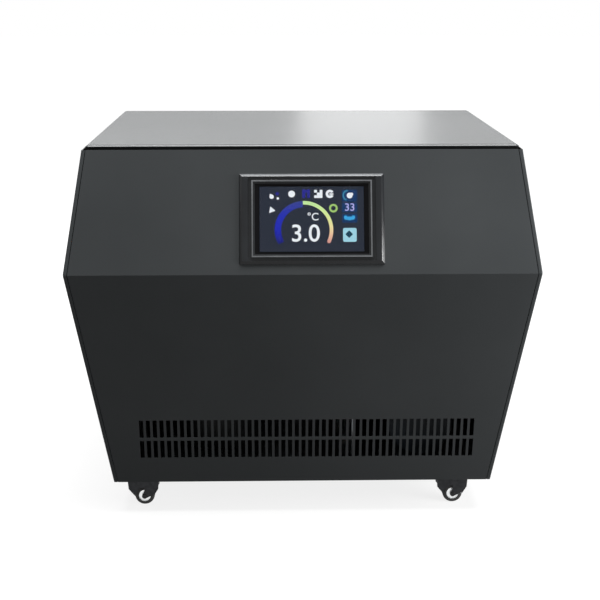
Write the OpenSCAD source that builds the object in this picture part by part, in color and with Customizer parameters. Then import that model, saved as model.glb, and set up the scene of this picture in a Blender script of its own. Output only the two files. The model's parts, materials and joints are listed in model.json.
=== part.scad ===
// Water chiller for an ice bath: a folded sheet-metal casing on four castors, with a
// touch display, two rows of intake slots and the refrigeration and water circuits inside.
// Millimetres. +X is right and -Y is towards the viewer, who faces the display. The origin
// is on the floor, under the middle of the overall box.

/* [Casing] */
// Width across the side folds, the widest line
body_w = 560; // [540:1:570]
// Width of the flat top
top_w = 518; // [504:1:524]
// Width at the bottom edge
bottom_w = 472; // [466:1:490]
// Height of the top above the floor
body_h = 465; // [460:1:480]
// Height of the fold line above the floor
fold_h = 320; // [314:1:322]
// Height of the bottom edge above the floor
base_h = 44; // [42:1:48]
// Depth of the flat top, front edge to back edge
top_d = 398; // [394:1:410]
// How far the front fold stands in front of the top's front edge
fold_out = 52; // [48:1:56]
// How far the bottom front edge lies behind the fold
toe_in = 46; // [42:1:50]
// Thickness of the casing sheet
sheet = 1.2; // [1:0.1:1.5]
// Width of the strip that each side panel turns around the front corner
strip_w = 4.5; // [3.5:0.5:6]
// Height of the top cover's turned-down lip
lip_h = 5; // [4:0.5:8]
// Open seam between neighbouring casing sheets
seam = 0.8; // [0.6:0.1:0.9]
// Width of the hidden flanges that stiffen and join the sheets
flange_w = 14; // [12:1:18]
// Thickness of the base pan
pan_t = 1.5; // [1.2:0.1:2]
// Height of the base pan's rim
rim_h = 24; // [20:1:28]

/* [Display] */
// Width of the bezel
bezel_w = 170; // [160:1:176]
// Height of the bezel, measured up the leaning face
bezel_h = 107; // [102:1:110]
// Distance from the fold to the bezel's lower edge
bezel_up = 12; // [12:1:18]
// Sideways shift of the display from the middle of the casing
display_shift = 10; // [4:1:14]
// How far the bezel stands proud of the face
bezel_proud = 4; // [3:0.5:5]
// Width of the slope around the bezel's outer edge
bezel_slope = 3.5; // [2:0.5:4]
// Width of the picture
screen_w = 122; // [116:1:124]
// Height of the picture
screen_h = 77; // [72:1:78]
// Width of the bezel's window
window_w = 133; // [130:1:135]
// Height of the bezel's window
window_h = 83; // [81:1:85]
// Thickness of the cover glass
glass_t = 1.8; // [1.5:0.1:2.2]
// Thickness of the display panel
screen_t = 4; // [3:0.5:5]
// Depth of the rear housing of the display
housing_d = 24; // [20:1:28]
// Wall of the bezel's sleeve and of the housing
display_wall = 2; // [1.6:0.2:2.4]

/* [Intake slots] */
// Number of slots in each of the two rows
slot_n = 50; // [40:1:52]
// Distance from slot to slot
slot_pitch = 8.3; // [7.6:0.1:8.4]
// Width of a slot
slot_w = 5.2; // [3:0.1:5.6]
// Length of a slot
slot_l = 24.5; // [20:0.5:25]
// Distance between the middles of the two rows
row_pitch = 28.5; // [28:0.5:32]
// Distance from the bottom edge up to the middle between the rows
slot_up = 61; // [58:1:66]
// Sideways shift of the slots from the middle of the casing
slot_shift = 5; // [0:1:8]

/* [Castors] */
// Diameter of a wheel
wheel_d = 25; // [24:1:28]
// Width of a wheel
wheel_w = 14; // [12:1:16]
// Horizontal distance from the swivel axis to the wheel's axle
trail = 4; // [3:0.5:8]
// Distance of the swivel axes from the middle of the casing
castor_x = 197.5; // [188:0.5:200]
// Distance from the bottom front edge back to the front swivel axes
castor_front = 38; // [34:1:42]
// Distance from the back panel forward to the rear swivel axes
castor_rear = 46; // [42:1:52]
// Width of the mounting plate
plate_w = 54; // [52:1:56]
// Depth of the mounting plate
plate_d = 40; // [38:1:44]
// Thickness of the mounting plate
plate_t = 2; // [1.6:0.2:2.4]
// Radius of the wheel's axle
axle_r = 2; // [2:0.5:3.5]
// Radius of the king pin on which the fork swivels
pin_r = 4; // [3.5:0.5:5]

/* [Back] */
// How far the hose spigots stand out behind the back panel
spigot_out = 34; // [30:1:38]
// Outer radius of a hose spigot, for a hose of 25 mm bore
spigot_r = 12.5; // [12:0.1:13]
// Height of the hose spigots above the base pan
port_up = 314; // [308:1:320]
// Distance of the inlet spigot from the middle of the casing
inlet_x = 100; // [98:1:104]
// Distance of the outlet spigot from the middle of the casing
outlet_x = 180; // [177:1:183]
// Distance of the power inlet from the middle of the casing
power_x = 150; // [145:1:155]
// Height of the power inlet above the base pan
power_up = 62; // [56:1:80]
// Radius of the fan opening in the back panel
fan_hole_r = 106; // [104:1:108]
// Radius of the wire of the fan guard
wire_r = 1.3; // [1:0.1:1.6]

/* [Refrigeration] */
// Radius of the compressor
comp_r = 62; // [58:1:64]
// Height of the compressor's shell
comp_h = 202; // [190:1:205]
// Radius of the fan's blades
fan_r = 98; // [94:1:100]
// Number of fan blades
fan_n = 5; // [3:1:7]
// Width of the condenser
cond_w = 250; // [240:1:254]
// Height of the condenser
cond_h = 268; // [260:1:272]
// Depth of the condenser
cond_d = 40; // [36:1:42]
// Number of grooves across the condenser's face
fin_n = 36; // [20:1:40]
// Outer radius of the heat exchanger
exch_r = 58; // [56:1:59]
// Height of the heat exchanger
exch_h = 255; // [250:1:260]
// Number of turns of the titanium coil
coil_n = 8; // [6:1:10]
// Radius of the titanium tube
coil_tube_r = 4.5; // [4:0.1:4.8]

/* [Water pump] */
// Radius of the pump motor
motor_r = 40; // [36:1:42]
// Length of the pump motor
motor_l = 98; // [90:1:100]
// Outer radius of the pump housing
volute_r = 44; // [43:1:46]
// Height of the pump's axis above the base pan
pump_up = 60; // [58:1:64]

/* [Hidden] */

$fn = 48;
pipe_fn = 24;
// Overrun of every cut past the faces that it opens
over = 2;
// Radial clearance of a running fit
run_gap = 0.05;
// Clearance between pieces that only lie next to each other
free_gap = 0.3;

// The casing's outline, from the driving sizes
depth_all = fold_out + top_d + spigot_out;
fold_y = -depth_all / 2;
top_y = fold_y + fold_out;
toe_y = fold_y + toe_in;
rear_y = top_y + top_d;
sky_h = body_h + over;
widest = max(body_w, top_w, bottom_w);
panel_top = body_h - lip_h - seam;
pan_top = base_h + pan_t;
side_low = (body_w - bottom_w) / 2 / (fold_h - base_h);
side_up = (body_w - top_w) / 2 / (body_h - fold_h);
front_low = toe_in / (fold_h - base_h);
front_up = fold_out / (body_h - fold_h);
lean_low = atan(front_low);
lean_up = atan(front_up);
face_low = norm([toe_in, fold_h - base_h]);

// Screws of the casing
screw_r = 2;
screw_hole_r = 2.2;
screw_head_r = 3.8;
screw_head_h = 2.2;
screw_l = 8;
screw_recess_r = 1.9;
screw_recess_h = 1.2;
rear_screw_z = [base_h + rim_h * 2, fold_h - flange_w * 3, panel_top - flange_w * 1.5];
rear_screw_in = flange_w * 0.55;
side_screw_y = [toe_y + flange_w * 3, (toe_y + rear_y) / 2, rear_y - flange_w * 3];

// Places of what stands in the casing: distances from the middle, from the line of the
// top's front edge (back) and from the back panel (fore)
partition_x = 64;
partition_gap = 16;
partition_y = top_y + housing_d + partition_gap;
partition_h = 334;
comp_x = -110;
comp_back = 105;
comp_y = top_y + comp_back;
// Room between the condenser's return bends and the partition
cond_room = 8.2;
cond_fore = 108;
cond_y = rear_y - cond_fore;
bend_r = 11;
tube_r = 4.8;
fan_x = partition_x - cond_room - bend_r - tube_r - cond_w / 2;
fan_up_share = 0.54;
fan_z = pan_top + cond_h * fan_up_share;
exch_x = 150;
exch_fore = 98;
exch_y = rear_y - exch_fore;
pump_back = 128;
pump_y = top_y + pump_back;
hose_room = 22;
hose_y = exch_y - exch_r - hose_room;

// Ribbon of points down a folded face: reach at the fold, slopes, depth below the skin
function folded(reach, low, up, d) =
    let (a = d * sqrt(1 + low * low), b = d * sqrt(1 + up * up), dz = (a - b) / (low + up))
    [[reach - low * fold_h - a, 0],
     [reach + low * dz - a, fold_h + dz],
     [reach - up * (sky_h - fold_h) - b, sky_h]];

function mirrored(pts) = [for (i = [len(pts) - 1:-1:0]) [-pts[i].x, pts[i].y]];
function half_w(z) = z < fold_h ? body_w / 2 - side_low * (fold_h - z)
    : body_w / 2 - side_up * (z - fold_h);

// Prism with the casing's outline seen from the front, d_side within its sides
module side_prism(d_side) {
    right = folded(body_w / 2, side_low, side_up, d_side);
    translate([0, depth_all / 2 + over, 0]) rotate([90, 0, 0])
        linear_extrude(depth_all + 2 * over) polygon(concat(right, mirrored(right)));
}

// Prism with the casing's outline seen from the side, d_end within front and back
module end_prism(d_end) {
    front = folded(-fold_y, front_low, front_up, d_end);
    translate([-widest / 2 - over, 0, 0]) rotate([90, 0, 90])
        linear_extrude(widest + 2 * over)
            polygon(concat([[rear_y - d_end, 0]], [[rear_y - d_end, sky_h]], mirrored(front)));
}

// Everything between two heights
module slab(z0, z1) {
    translate([-widest, -depth_all, z0]) cube([2 * widest, 2 * depth_all, z1 - z0]);
}

// Everything between two places along Y
module band(y0, y1) {
    translate([-widest, y0, -over]) cube([2 * widest, y1 - y0, sky_h + 2 * over]);
}

// The casing's volume, d within its outer faces, between two heights
module core(d, z0, z1) {
    intersection() { side_prism(d); end_prism(d); slab(z0, z1); }
}

// Casing skin between two heights, one sheet thick
module skin(z0, z1) {
    difference() { core(0, z0, z1); core(sheet, z0 - over, z1 + over); }
}

// Frames of the two front faces: X along the fold, Z up the face, -Y out of it
module on_upper_face() { translate([0, fold_y, fold_h]) rotate([-lean_up, 0, 0]) children(); }
module on_lower_face() { translate([0, fold_y, fold_h]) rotate([lean_low, 0, 0]) children(); }

// A block around a middle in X and Z, between two places along Y
module block(w, h, y0, y1) { translate([-w / 2, y0, -h / 2]) cube([w, y1 - y0, h]); }

// A cylinder along Y between two places
module post_y(r, y0, y1, fn = $fn) {
    translate([0, y1, 0]) rotate([90, 0, 0]) cylinder(r = r, h = y1 - y0, $fn = fn);
}

// Round pipes of axis-parallel legs with bends
function unit(v) = v / norm(v);
function leg_start(p, i, bend) = i == 0 ? p[0] : p[i] + unit(p[i + 1] - p[i]) * bend;
function leg_end(p, i, bend) =
    i == len(p) - 2 ? p[i + 1] : p[i + 1] - unit(p[i + 1] - p[i]) * bend;

module rod(a, b, r) {
    d = b - a;
    translate(a) rotate([0, acos(d.z / norm(d)), atan2(d.y, d.x)])
        cylinder(r = r, h = norm(d), $fn = pipe_fn);
}

module elbow(p, u, v, r, bend) {
    w = cross(u, v);
    c = p - u * bend + v * bend;
    multmatrix([[-v.x, u.x, w.x, c.x], [-v.y, u.y, w.y, c.y], [-v.z, u.z, w.z, c.z]])
        rotate_extrude(angle = 90, $fn = pipe_fn * 2) translate([bend, 0]) circle(r, $fn = pipe_fn);
}

module run(p, r, bend) {
    for (i = [0:len(p) - 2]) rod(leg_start(p, i, bend), leg_end(p, i, bend), r);
    if (len(p) > 2) for (i = [1:len(p) - 2])
        elbow(p[i], unit(p[i] - p[i - 1]), unit(p[i + 1] - p[i]), r, bend);
}

function stretched(p) = let (n = len(p) - 1)
    [for (i = [0:n]) i == 0 ? p[0] - unit(p[1] - p[0]) * over
        : i == n ? p[n] + unit(p[n] - p[n - 1]) * over : p[i]];

module pipe(p, r, bore, bend) {
    difference() { run(p, r, bend); run(stretched(p), bore, bend); }
}

// Casing

module screw(r = screw_r, head_r = screw_head_r, head_h = screw_head_h, l = screw_l) {
    difference() {
        union() {
            cylinder(r = head_r, h = head_h);
            translate([0, 0, -l]) cylinder(r = r, h = l);
        }
        translate([0, 0, head_h - screw_recess_h])
            cylinder(r = screw_recess_r, h = screw_recess_h + over, $fn = 6);
    }
}

module at_rear_screws() {
    for (s = [-1, 1], z = rear_screw_z)
        translate([s * (half_w(z) - sheet - rear_screw_in), rear_y, z])
            rotate([-90, 0, 0]) children();
}

module at_side_screws() {
    z = base_h + rim_h / 2;
    for (s = [-1, 1], y = side_screw_y)
        translate([s * half_w(z), y, z])
            rotate([0, s * (90 + atan(side_low)), 0]) children();
}

module casing_screws() {
    color("#1b1c1e") { at_rear_screws() screw(); at_side_screws() screw(); }
}

module screw_hole() { translate([0, 0, -screw_l]) cylinder(r = screw_hole_r, h = screw_l + over); }

module base_pan() {
    color("#2b2d2f") difference() {
        core(sheet, base_h, base_h + rim_h);
        core(sheet + pan_t, pan_top, sky_h);
        at_side_screws() screw_hole();
        at_castors() at_plate_screws() translate([0, 0, -over])
            cylinder(r = castor_hole_r, h = pan_t + 2 * over);
    }
}

module slots() {
    for (i = [0:slot_n - 1], j = [-1, 1])
        translate([slot_shift + (i - (slot_n - 1) / 2) * slot_pitch, 0,
            -face_low + slot_up + j * row_pitch / 2])
            block(slot_w, slot_l, -over, sheet + over);
}

module front_panel() {
    color("#3e3f40") difference() {
        union() {
            intersection() {
                skin(base_h, panel_top);
                side_prism(strip_w + seam);
                band(fold_y - over, 0);
            }
            intersection() {
                core(sheet / 2, panel_top - sheet, panel_top);
                side_prism(strip_w + seam);
                band(fold_y, top_y + flange_w);
            }
        }
        on_upper_face() translate([display_shift, 0, bezel_up + bezel_h / 2])
            block(sleeve_w + 2 * free_gap, sleeve_h + 2 * free_gap, -over, sheet + over);
        on_lower_face() slots();
    }
}

// Skin of one side, with a strip around the front corner and flanges at the back and top
module side_panel(s) {
    color("#333536") difference() {
        union() {
            difference() { core(0, base_h, panel_top); side_prism(sheet); }
            difference() {
                intersection() {
                    side_prism(sheet / 2);
                    difference() { end_prism(0); end_prism(sheet); }
                    slab(base_h, panel_top);
                    band(fold_y - over, 0);
                }
                side_prism(strip_w);
            }
            difference() {
                intersection() {
                    side_prism(sheet / 2);
                    union() {
                        intersection() {
                            slab(base_h + rim_h + seam, panel_top);
                            band(rear_y - 2 * sheet, rear_y - sheet);
                        }
                        intersection() {
                            slab(panel_top - sheet, panel_top);
                            band(top_y + flange_w + seam, rear_y - sheet);
                        }
                    }
                }
                side_prism(flange_w);
            }
        }
        translate([s > 0 ? -widest : 0, -depth_all, 0]) cube([widest, 2 * depth_all, sky_h]);
        at_rear_screws() screw_hole();
        at_side_screws() screw_hole();
    }
}

module rear_panel() {
    color("#333536") difference() {
        intersection() {
            side_prism(sheet + seam / 2);
            band(rear_y - sheet, rear_y);
            slab(base_h, panel_top);
        }
        translate([fan_x, 0, fan_z]) post_y(fan_hole_r, rear_y - sheet - over, rear_y + over, 96);
        for (x = [inlet_x, outlet_x]) translate([x, 0, port_z])
            post_y(neck_r + free_gap, rear_y - sheet - over, rear_y + over);
        translate([power_x, 0, power_z])
            block(socket_w, socket_h, rear_y - sheet - over, rear_y + over);
        at_rear_screws() screw_hole();
        at_guard_tabs() screw_hole();
    }
}

module top_cover() {
    color("#8f9090") difference() {
        core(0, body_h - lip_h, body_h);
        core(sheet, 0, body_h - sheet);
    }
}

module partition_plate() {
    back = rear_y - 3 * sheet;
    color("#9a9c9e") difference() {
        union() {
            translate([partition_x, partition_y, pan_top])
                cube([sheet, back - partition_y, partition_h]);
            translate([partition_x - flange_w, partition_y, pan_top])
                cube([flange_w, back - partition_y, sheet]);
        }
        for (hole = [capillary_cross, cable_cross]) translate(hole) rotate([0, 90, 0])
            translate([0, 0, -over]) cylinder(r = grommet_r, h = sheet + 2 * over);
    }
}

// Display: everything is drawn in the frame of the leaning face, around its own middle

sleeve_w = window_w + 5 * display_wall;
sleeve_h = window_h + 5 * display_wall;
pocket_w = sleeve_w - 2 * display_wall;
pocket_h = sleeve_h - 2 * display_wall;
ring_w = 2.2;
ring_proud = 0.8;
ring_gap = 2;
groove_w = 4;
groove_d = 1.2;
sleeve_d = 6;
// Depth of the cover glass below the bezel's front
glass_sink = 3.2;
glass_y = glass_sink - bezel_proud;
board_t = 1.6;
post_r = 3;

module at_display() {
    on_upper_face() translate([display_shift, 0, bezel_up + bezel_h / 2]) children();
}

// Rectangle of bezel between two sizes
module frame_block(w, h, inner_w, inner_h, y0, y1) {
    difference() { block(w, h, y0, y1); block(inner_w, inner_h, y0 - over, y1 + over); }
}

// Raised block whose outer edge slopes on all four sides
module sloped_block(w, h, proud, slope) {
    intersection() {
        translate([0, 0, -h / 2]) linear_extrude(h)
            polygon([[-w / 2, 0], [-w / 2, slope - proud], [slope - w / 2, -proud],
                [w / 2 - slope, -proud], [w / 2, slope - proud], [w / 2, 0]]);
        translate([-w / 2, 0, 0]) rotate([90, 0, 90]) linear_extrude(w)
            polygon([[0, -h / 2], [slope - proud, -h / 2], [-proud, slope - h / 2],
                [-proud, h / 2 - slope], [slope - proud, h / 2], [0, h / 2]]);
    }
}

module display_bezel() {
    ring_in_w = window_w + 2 * ring_gap;
    ring_in_h = window_h + 2 * ring_gap;
    ring_out_w = ring_in_w + 2 * ring_w;
    ring_out_h = ring_in_h + 2 * ring_w;
    color("#26282a") at_display() difference() {
        union() {
            sloped_block(bezel_w, bezel_h, bezel_proud, bezel_slope);
            block(ring_out_w, ring_out_h, -bezel_proud - ring_proud, -bezel_proud + ring_proud);
            block(sleeve_w, sleeve_h, -ring_proud, sleeve_d);
        }
        block(window_w, window_h, -bezel_proud - over, sleeve_d);
        frame_block(ring_in_w, ring_in_h, window_w - over, window_h - over,
            -bezel_proud - over, -bezel_proud);
        frame_block(ring_out_w + 2 * groove_w,
            min(ring_out_h + 2 * groove_w, bezel_h - 2 * bezel_slope),
            ring_out_w, ring_out_h, -bezel_proud - over, groove_d - bezel_proud);
        block(pocket_w, pocket_h, glass_y, sleeve_d + over);
    }
}

module display_glass() {
    color("#0c0d10") at_display()
        block(pocket_w - 2 * free_gap, pocket_h - 2 * free_gap, glass_y, glass_y + glass_t);
}

module display_screen() {
    color("#3c4656") at_display() block(screen_w, screen_h, glass_y + glass_t,
        glass_y + glass_t + screen_t);
}

module display_board() {
    y = glass_y + glass_t + screen_t;
    color("#1f6b45") at_display() {
        block(screen_w, screen_h, y, y + board_t);
        translate([-screen_w / 4, 0, 0])
            block(screen_w / 5, screen_h / 4, y + board_t, y + board_t * 2);
    }
}

module display_housing() {
    y = glass_y + glass_t + screen_t + board_t;
    color("#232527") at_display() {
        difference() {
            block(sleeve_w, sleeve_h, sleeve_d, sleeve_d + housing_d);
            block(pocket_w, pocket_h, sleeve_d - over, sleeve_d + housing_d - display_wall);
        }
        for (sx = [-1, 1], sz = [-1, 1])
            translate([sx * (screen_w / 2 - post_r - display_wall), 0,
                sz * (screen_h / 2 - post_r - display_wall)])
                post_y(post_r, y, sleeve_d + housing_d - display_wall);
    }
}

// Castors

CORNERS = [[-1, -1], [1, -1], [-1, 1], [1, 1]];
castor_hole_r = 2.6;
castor_screw_r = 2.4;
castor_head_r = 4.2;
castor_head_h = 2.6;
race_r = 15;
race_h = 5;
fork_t = 2.2;
leg_t = 1.8;
leg_gap = 0.8;
crown_r = 14;
pin_head_r = 6.5;
pin_head_h = 1.5;
rivet_lap = 0.9;
rivet_h = 1;
hub_r = 4.8;
tread_round = 3;
core_r_share = 0.6;
dish_d = 1.6;
plate_z = base_h - plate_t;
race_z = plate_z - race_h;
crown_z = race_z - free_gap - fork_t;
wheel_z = wheel_d / 2;
wheel_x = -trail;
cheek_gap = 1;
// Outlines of the fork's cheek and of its leg, from the wheel's middle, as shares of the
// wheel's radius. The cheek's top corners follow the crown's height.
cheek_top_shares = [-1.7, 1.5];
cheek_shares = [[1.41, 0.8], [1, -0.11], [-1, -0.11], [-1.6, 0.8]];
leg_shares = [[0, 0.62], [0, 1.2], [1, 1.2], [1.3, 0.6], [0.97, 0.2]];

function corner_pos(c) =
    [c.x * castor_x, c.y < 0 ? toe_y + castor_front : rear_y - castor_rear, 0];

module at_castors() {
    for (c = CORNERS) translate(corner_pos(c)) translate([0, 0, base_h]) children();
}

module at_plate_screws() {
    in = castor_head_r + plate_t;
    for (sx = [-1, 1], sy = [-1, 1])
        translate([sx * (plate_w / 2 - in), sy * (plate_d / 2 - in), 0]) children();
}

module castor_plate(c) {
    color("#17181a") translate(corner_pos(c)) difference() {
        union() {
            translate([-plate_w / 2, -plate_d / 2, plate_z]) cube([plate_w, plate_d, plate_t]);
            translate([0, 0, race_z]) cylinder(r = race_r, h = race_h);
            translate([0, 0, crown_z - pin_head_h - free_gap])
                cylinder(r = pin_r, h = plate_z - crown_z + pin_head_h);
            translate([0, 0, crown_z - pin_head_h - free_gap])
                cylinder(r = pin_head_r, h = pin_head_h);
        }
        translate([0, 0, plate_z]) at_plate_screws() translate([0, 0, -over])
            cylinder(r = castor_hole_r, h = plate_t + 2 * over);
    }
}

// One cheek of the fork, seen along the axle: it spreads over the wheel, and a leg runs
// from it down to the axle's eye
module cheek_outline() {
    r = wheel_d / 2;
    eye_r = axle_r + leg_t * 0.8;
    top = crown_z + fork_t;
    difference() {
        polygon(concat([for (k = cheek_top_shares) [wheel_x + k * r, top]],
            [for (k = cheek_shares) [wheel_x + k.x * r, wheel_z + k.y * r]]));
        translate([wheel_x, wheel_z]) circle(r + cheek_gap);
    }
    difference() {
        translate([wheel_x, wheel_z]) union() {
            polygon(concat([[-eye_r, 0]], [for (k = leg_shares) k * r],
                [[eye_r * 0.7, -eye_r * 0.7]]));
            circle(eye_r);
        }
        translate([wheel_x, wheel_z]) circle(axle_r + run_gap);
    }
}

module castor_fork(c) {
    r = wheel_d / 2;
    out = wheel_w / 2 + leg_gap;
    color("#1c1d1f") translate(corner_pos(c)) difference() {
        union() {
            translate([0, 0, crown_z]) cylinder(r = crown_r, h = fork_t);
            translate([wheel_x + cheek_top_shares[0] * r, -out - leg_t, crown_z])
                cube([(cheek_top_shares[1] - cheek_top_shares[0]) * r,
                    2 * (out + leg_t), fork_t]);
            for (y = [-out, out + leg_t]) translate([0, y, 0]) rotate([90, 0, 0])
                linear_extrude(leg_t) cheek_outline();
        }
        translate([0, 0, crown_z - over]) cylinder(r = pin_r + run_gap, h = fork_t + 2 * over);
    }
}

module castor_axle(c) {
    out = wheel_w / 2 + leg_gap + leg_t;
    rivet_r = axle_r + rivet_lap;
    color("#2a2b2d") translate(corner_pos(c)) translate([wheel_x, 0, wheel_z]) {
        post_y(axle_r, -out - rivet_h, out + rivet_h);
        post_y(rivet_r, out, out + rivet_h);
        post_y(rivet_r, -out - rivet_h, -out);
    }
}

module castor_wheel(c) {
    r = wheel_d / 2;
    h = wheel_w / 2;
    core_r = r * core_r_share;
    color("#141516") translate(corner_pos(c)) translate([wheel_x, 0, wheel_z]) rotate([90, 0, 0])
        rotate_extrude() difference() {
            union() {
                translate([axle_r + run_gap, -h]) square([r - tread_round - axle_r - run_gap, 2 * h]);
                translate([axle_r + run_gap, tread_round - h])
                    square([r - axle_r - run_gap, 2 * (h - tread_round)]);
                for (s = [-1, 1]) translate([r - tread_round, s * (h - tread_round)])
                    circle(tread_round, $fn = 32);
            }
            for (s = [-1, 1]) translate([hub_r, s > 0 ? h - dish_d : -h - over])
                square([core_r - hub_r, dish_d + over]);
        }
}

module castor_screws() {
    color("#b9babb") at_castors() translate([0, 0, -plate_t]) at_plate_screws()
        mirror([0, 0, 1]) screw(castor_screw_r, castor_head_r, castor_head_h, plate_t + pan_t);
}

// Back of the casing

port_z = pan_top + port_up;
power_z = pan_top + power_up;
neck_r = 15;
port_flange_r = 23;
port_flange_t = 5;
port_bore = 9.5;
stub_l = 30;
nut_r = 25;
nut_t = 7;
// Length of the tapered tip that leads a hose on, and how much it narrows
tip_l = 2.5;
tip_in = 1;
guard_tab_r = 7;
guard_rings = 8;
guard_disc_r = 42;
guard_disc_t = 2;
socket_w = 27;
socket_h = 47;
socket_d = 25;
socket_flange = 3;
socket_t = 2.5;
cavity_w = 24.6;
cavity_h = 17;
cavity_d = 19;
cavity_up = -11;
contact_l = 13.5;
contact_w = 2;
contact_h = 4;
rocker_w = 19;
rocker_h = 13;
rocker_up = 12.5;
rocker_d = 9;
rocker_proud = 1.5;
rocker_tilt = 6;
rocker_pin_r = 1.5;
rocker_axis_y = rear_y - rocker_d * 0.45;
guard_out_r = fan_hole_r + guard_tab_r;

module water_port(x) {
    color("#2c2e30") translate([x, 0, port_z]) difference() {
        union() {
            post_y(port_flange_r, rear_y, rear_y + port_flange_t);
            post_y(neck_r, rear_y - nut_t - 2 * sheet, rear_y);
            post_y(spigot_r, rear_y - nut_t - 2 * sheet - stub_l, rear_y + spigot_out - tip_l);
            translate([0, rear_y + spigot_out - tip_l, 0]) rotate([-90, 0, 0])
                cylinder(r1 = spigot_r, r2 = spigot_r - tip_in, h = tip_l);
        }
        post_y(port_bore, rear_y - nut_t - 2 * sheet - stub_l - over, rear_y + spigot_out + over);
    }
}

module port_nuts() {
    color("#3a3c3e") for (x = [inlet_x, outlet_x]) translate([x, 0, port_z]) difference() {
        post_y(nut_r, rear_y - sheet - nut_t, rear_y - sheet, 6);
        post_y(neck_r + run_gap, rear_y - sheet - nut_t - over, rear_y);
    }
}

module at_guard_tabs() {
    for (a = [45:90:315]) translate([fan_x, rear_y, fan_z])
        translate([guard_out_r * cos(a), 0, guard_out_r * sin(a)]) rotate([-90, 0, 0]) children();
}

module guard_ring(r) {
    difference() {
        post_y(r + wire_r, rear_y + wire_r, rear_y + 3 * wire_r, 96);
        post_y(r - wire_r, rear_y, rear_y + 4 * wire_r, 96);
    }
}

module fan_guard() {
    step = (guard_out_r - guard_disc_r) / guard_rings;
    color("#101112") {
        translate([fan_x, 0, fan_z]) {
            post_y(guard_disc_r, rear_y, rear_y + guard_disc_t, 96);
            for (i = [1:guard_rings - 1]) guard_ring(guard_disc_r + i * step);
            for (a = [45:90:315]) rotate([0, -a, 0])
                translate([guard_disc_r - 2 * wire_r, rear_y, -wire_r])
                    cube([guard_out_r - guard_disc_r, 2 * wire_r, 2 * wire_r]);
        }
        at_guard_tabs() difference() {
            cylinder(r = guard_tab_r, h = guard_disc_t);
            translate([0, 0, -over]) cylinder(r = screw_hole_r, h = guard_disc_t + 2 * over);
        }
    }
}

module power_inlet() {
    color("#141516") translate([power_x, 0, power_z]) difference() {
        union() {
            block(socket_w + 2 * socket_flange, socket_h + 2 * socket_flange, rear_y, rear_y + socket_t);
            block(socket_w - 2 * free_gap, socket_h - 2 * free_gap, rear_y - socket_d, rear_y);
        }
        difference() {
            translate([0, 0, cavity_up])
                block(cavity_w, cavity_h, rear_y + socket_t - cavity_d, rear_y + socket_t + over);
            for (x = [-1, 0, 1]) translate([x * cavity_w / 4, 0,
                cavity_up + (x == 0 ? contact_h / 2 : -contact_h / 2)])
                block(contact_w, contact_h, rear_y + socket_t - cavity_d - over,
                    rear_y + socket_t - cavity_d + contact_l);
        }
        translate([0, 0, rocker_up])
            block(rocker_w + 2 * free_gap, rocker_h + 2 * seam,
                rear_y - rocker_d - over * 2, rear_y + socket_t + over);
        translate([-socket_w / 2 + display_wall, rocker_axis_y, rocker_up]) rotate([0, 90, 0])
            cylinder(r = rocker_pin_r + run_gap, h = socket_w - 2 * display_wall, $fn = 32);
    }
}

module rocker_button() {
    front = rear_y + socket_t + rocker_proud;
    reach = rocker_w / 2 + rocker_pin_r;
    color("#1a1a1b") translate([power_x, rocker_axis_y, power_z + rocker_up])
        rotate([rocker_tilt, 0, 0]) translate([0, -rocker_axis_y, 0]) {
            rotate([90, 0, 90]) translate([0, 0, -rocker_w / 2]) linear_extrude(rocker_w)
                polygon([[front - rocker_proud, -rocker_h / 2], [front, 0],
                    [front - rocker_proud, rocker_h / 2], [rear_y - rocker_d, rocker_h / 4],
                    [rear_y - rocker_d, -rocker_h / 4]]);
            translate([-reach, rocker_axis_y, 0]) rotate([0, 90, 0])
                cylinder(r = rocker_pin_r, h = 2 * reach, $fn = 32);
        }
}

// Condenser and fan

fin_gap = 3.5;
fin_cut_share = 0.36;
end_plate_t = 2;
bend_n = 6;
shroud_t = 1.5;
shroud_skirt = 16;
shroud_bell = 30;
fan_tip_gap = 4;
hub_cup_r = 46;
hub_cup_l = 40;
hub_cup_t = 3;
shaft_r = 5;
stator_r = 38;
cup_fore = 52;
cup_y = rear_y - cup_fore;
blade_t = 1.8;
blade_pitch = 28;
blade_arc = 34;
pipe_r = 4;
pipe_bore = 3;
pipe_bend = 14;

module condenser_fins() {
    pitch = (cond_w - 4 * end_plate_t) / fin_n;
    color("#a9adb0") translate([fan_x, 0, 0]) difference() {
        translate([-cond_w / 2, cond_y, pan_top]) cube([cond_w, cond_d, cond_h]);
        for (i = [0:fin_n - 1], back = [0, 1])
            translate([(i + 0.5) * pitch - fin_n * pitch / 2 - fin_gap / 2,
                back ? cond_y + cond_d * (1 - fin_cut_share) : cond_y - over, pan_top + end_plate_t])
                cube([fin_gap, cond_d * fin_cut_share + over, cond_h - 2 * end_plate_t]);
    }
}

module condenser_tubes() {
    rise = cond_h / bend_n;
    color("#b4764a") for (s = [-1, 1], i = [0:bend_n - 1])
        translate([fan_x + s * cond_w / 2, cond_y + cond_d / 2, pan_top + rise * (i + 0.5)])
            rotate([90, s > 0 ? 90 : -90, 0]) rotate_extrude(angle = 180)
                translate([bend_r, 0]) circle(tube_r, $fn = pipe_fn);
}

module fan_shroud() {
    y0 = cond_y + cond_d;
    y1 = y0 + shroud_skirt;
    w = cond_w - 2 * end_plate_t;
    h = cond_h - 2 * end_plate_t;
    color("#26282a") translate([fan_x, 0, pan_top + cond_h / 2]) difference() {
        union() {
            block(w, h, y0, y1);
            translate([0, 0, fan_z - pan_top - cond_h / 2])
                post_y(fan_r + fan_tip_gap + shroud_t, y1 - shroud_t, y1 + shroud_bell, 96);
        }
        block(w - 2 * shroud_t, h - 2 * shroud_t, y0 - over, y1 - shroud_t);
        translate([0, 0, fan_z - pan_top - cond_h / 2])
            post_y(fan_r + fan_tip_gap, y0, y1 + shroud_bell + over, 96);
    }
}

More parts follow.
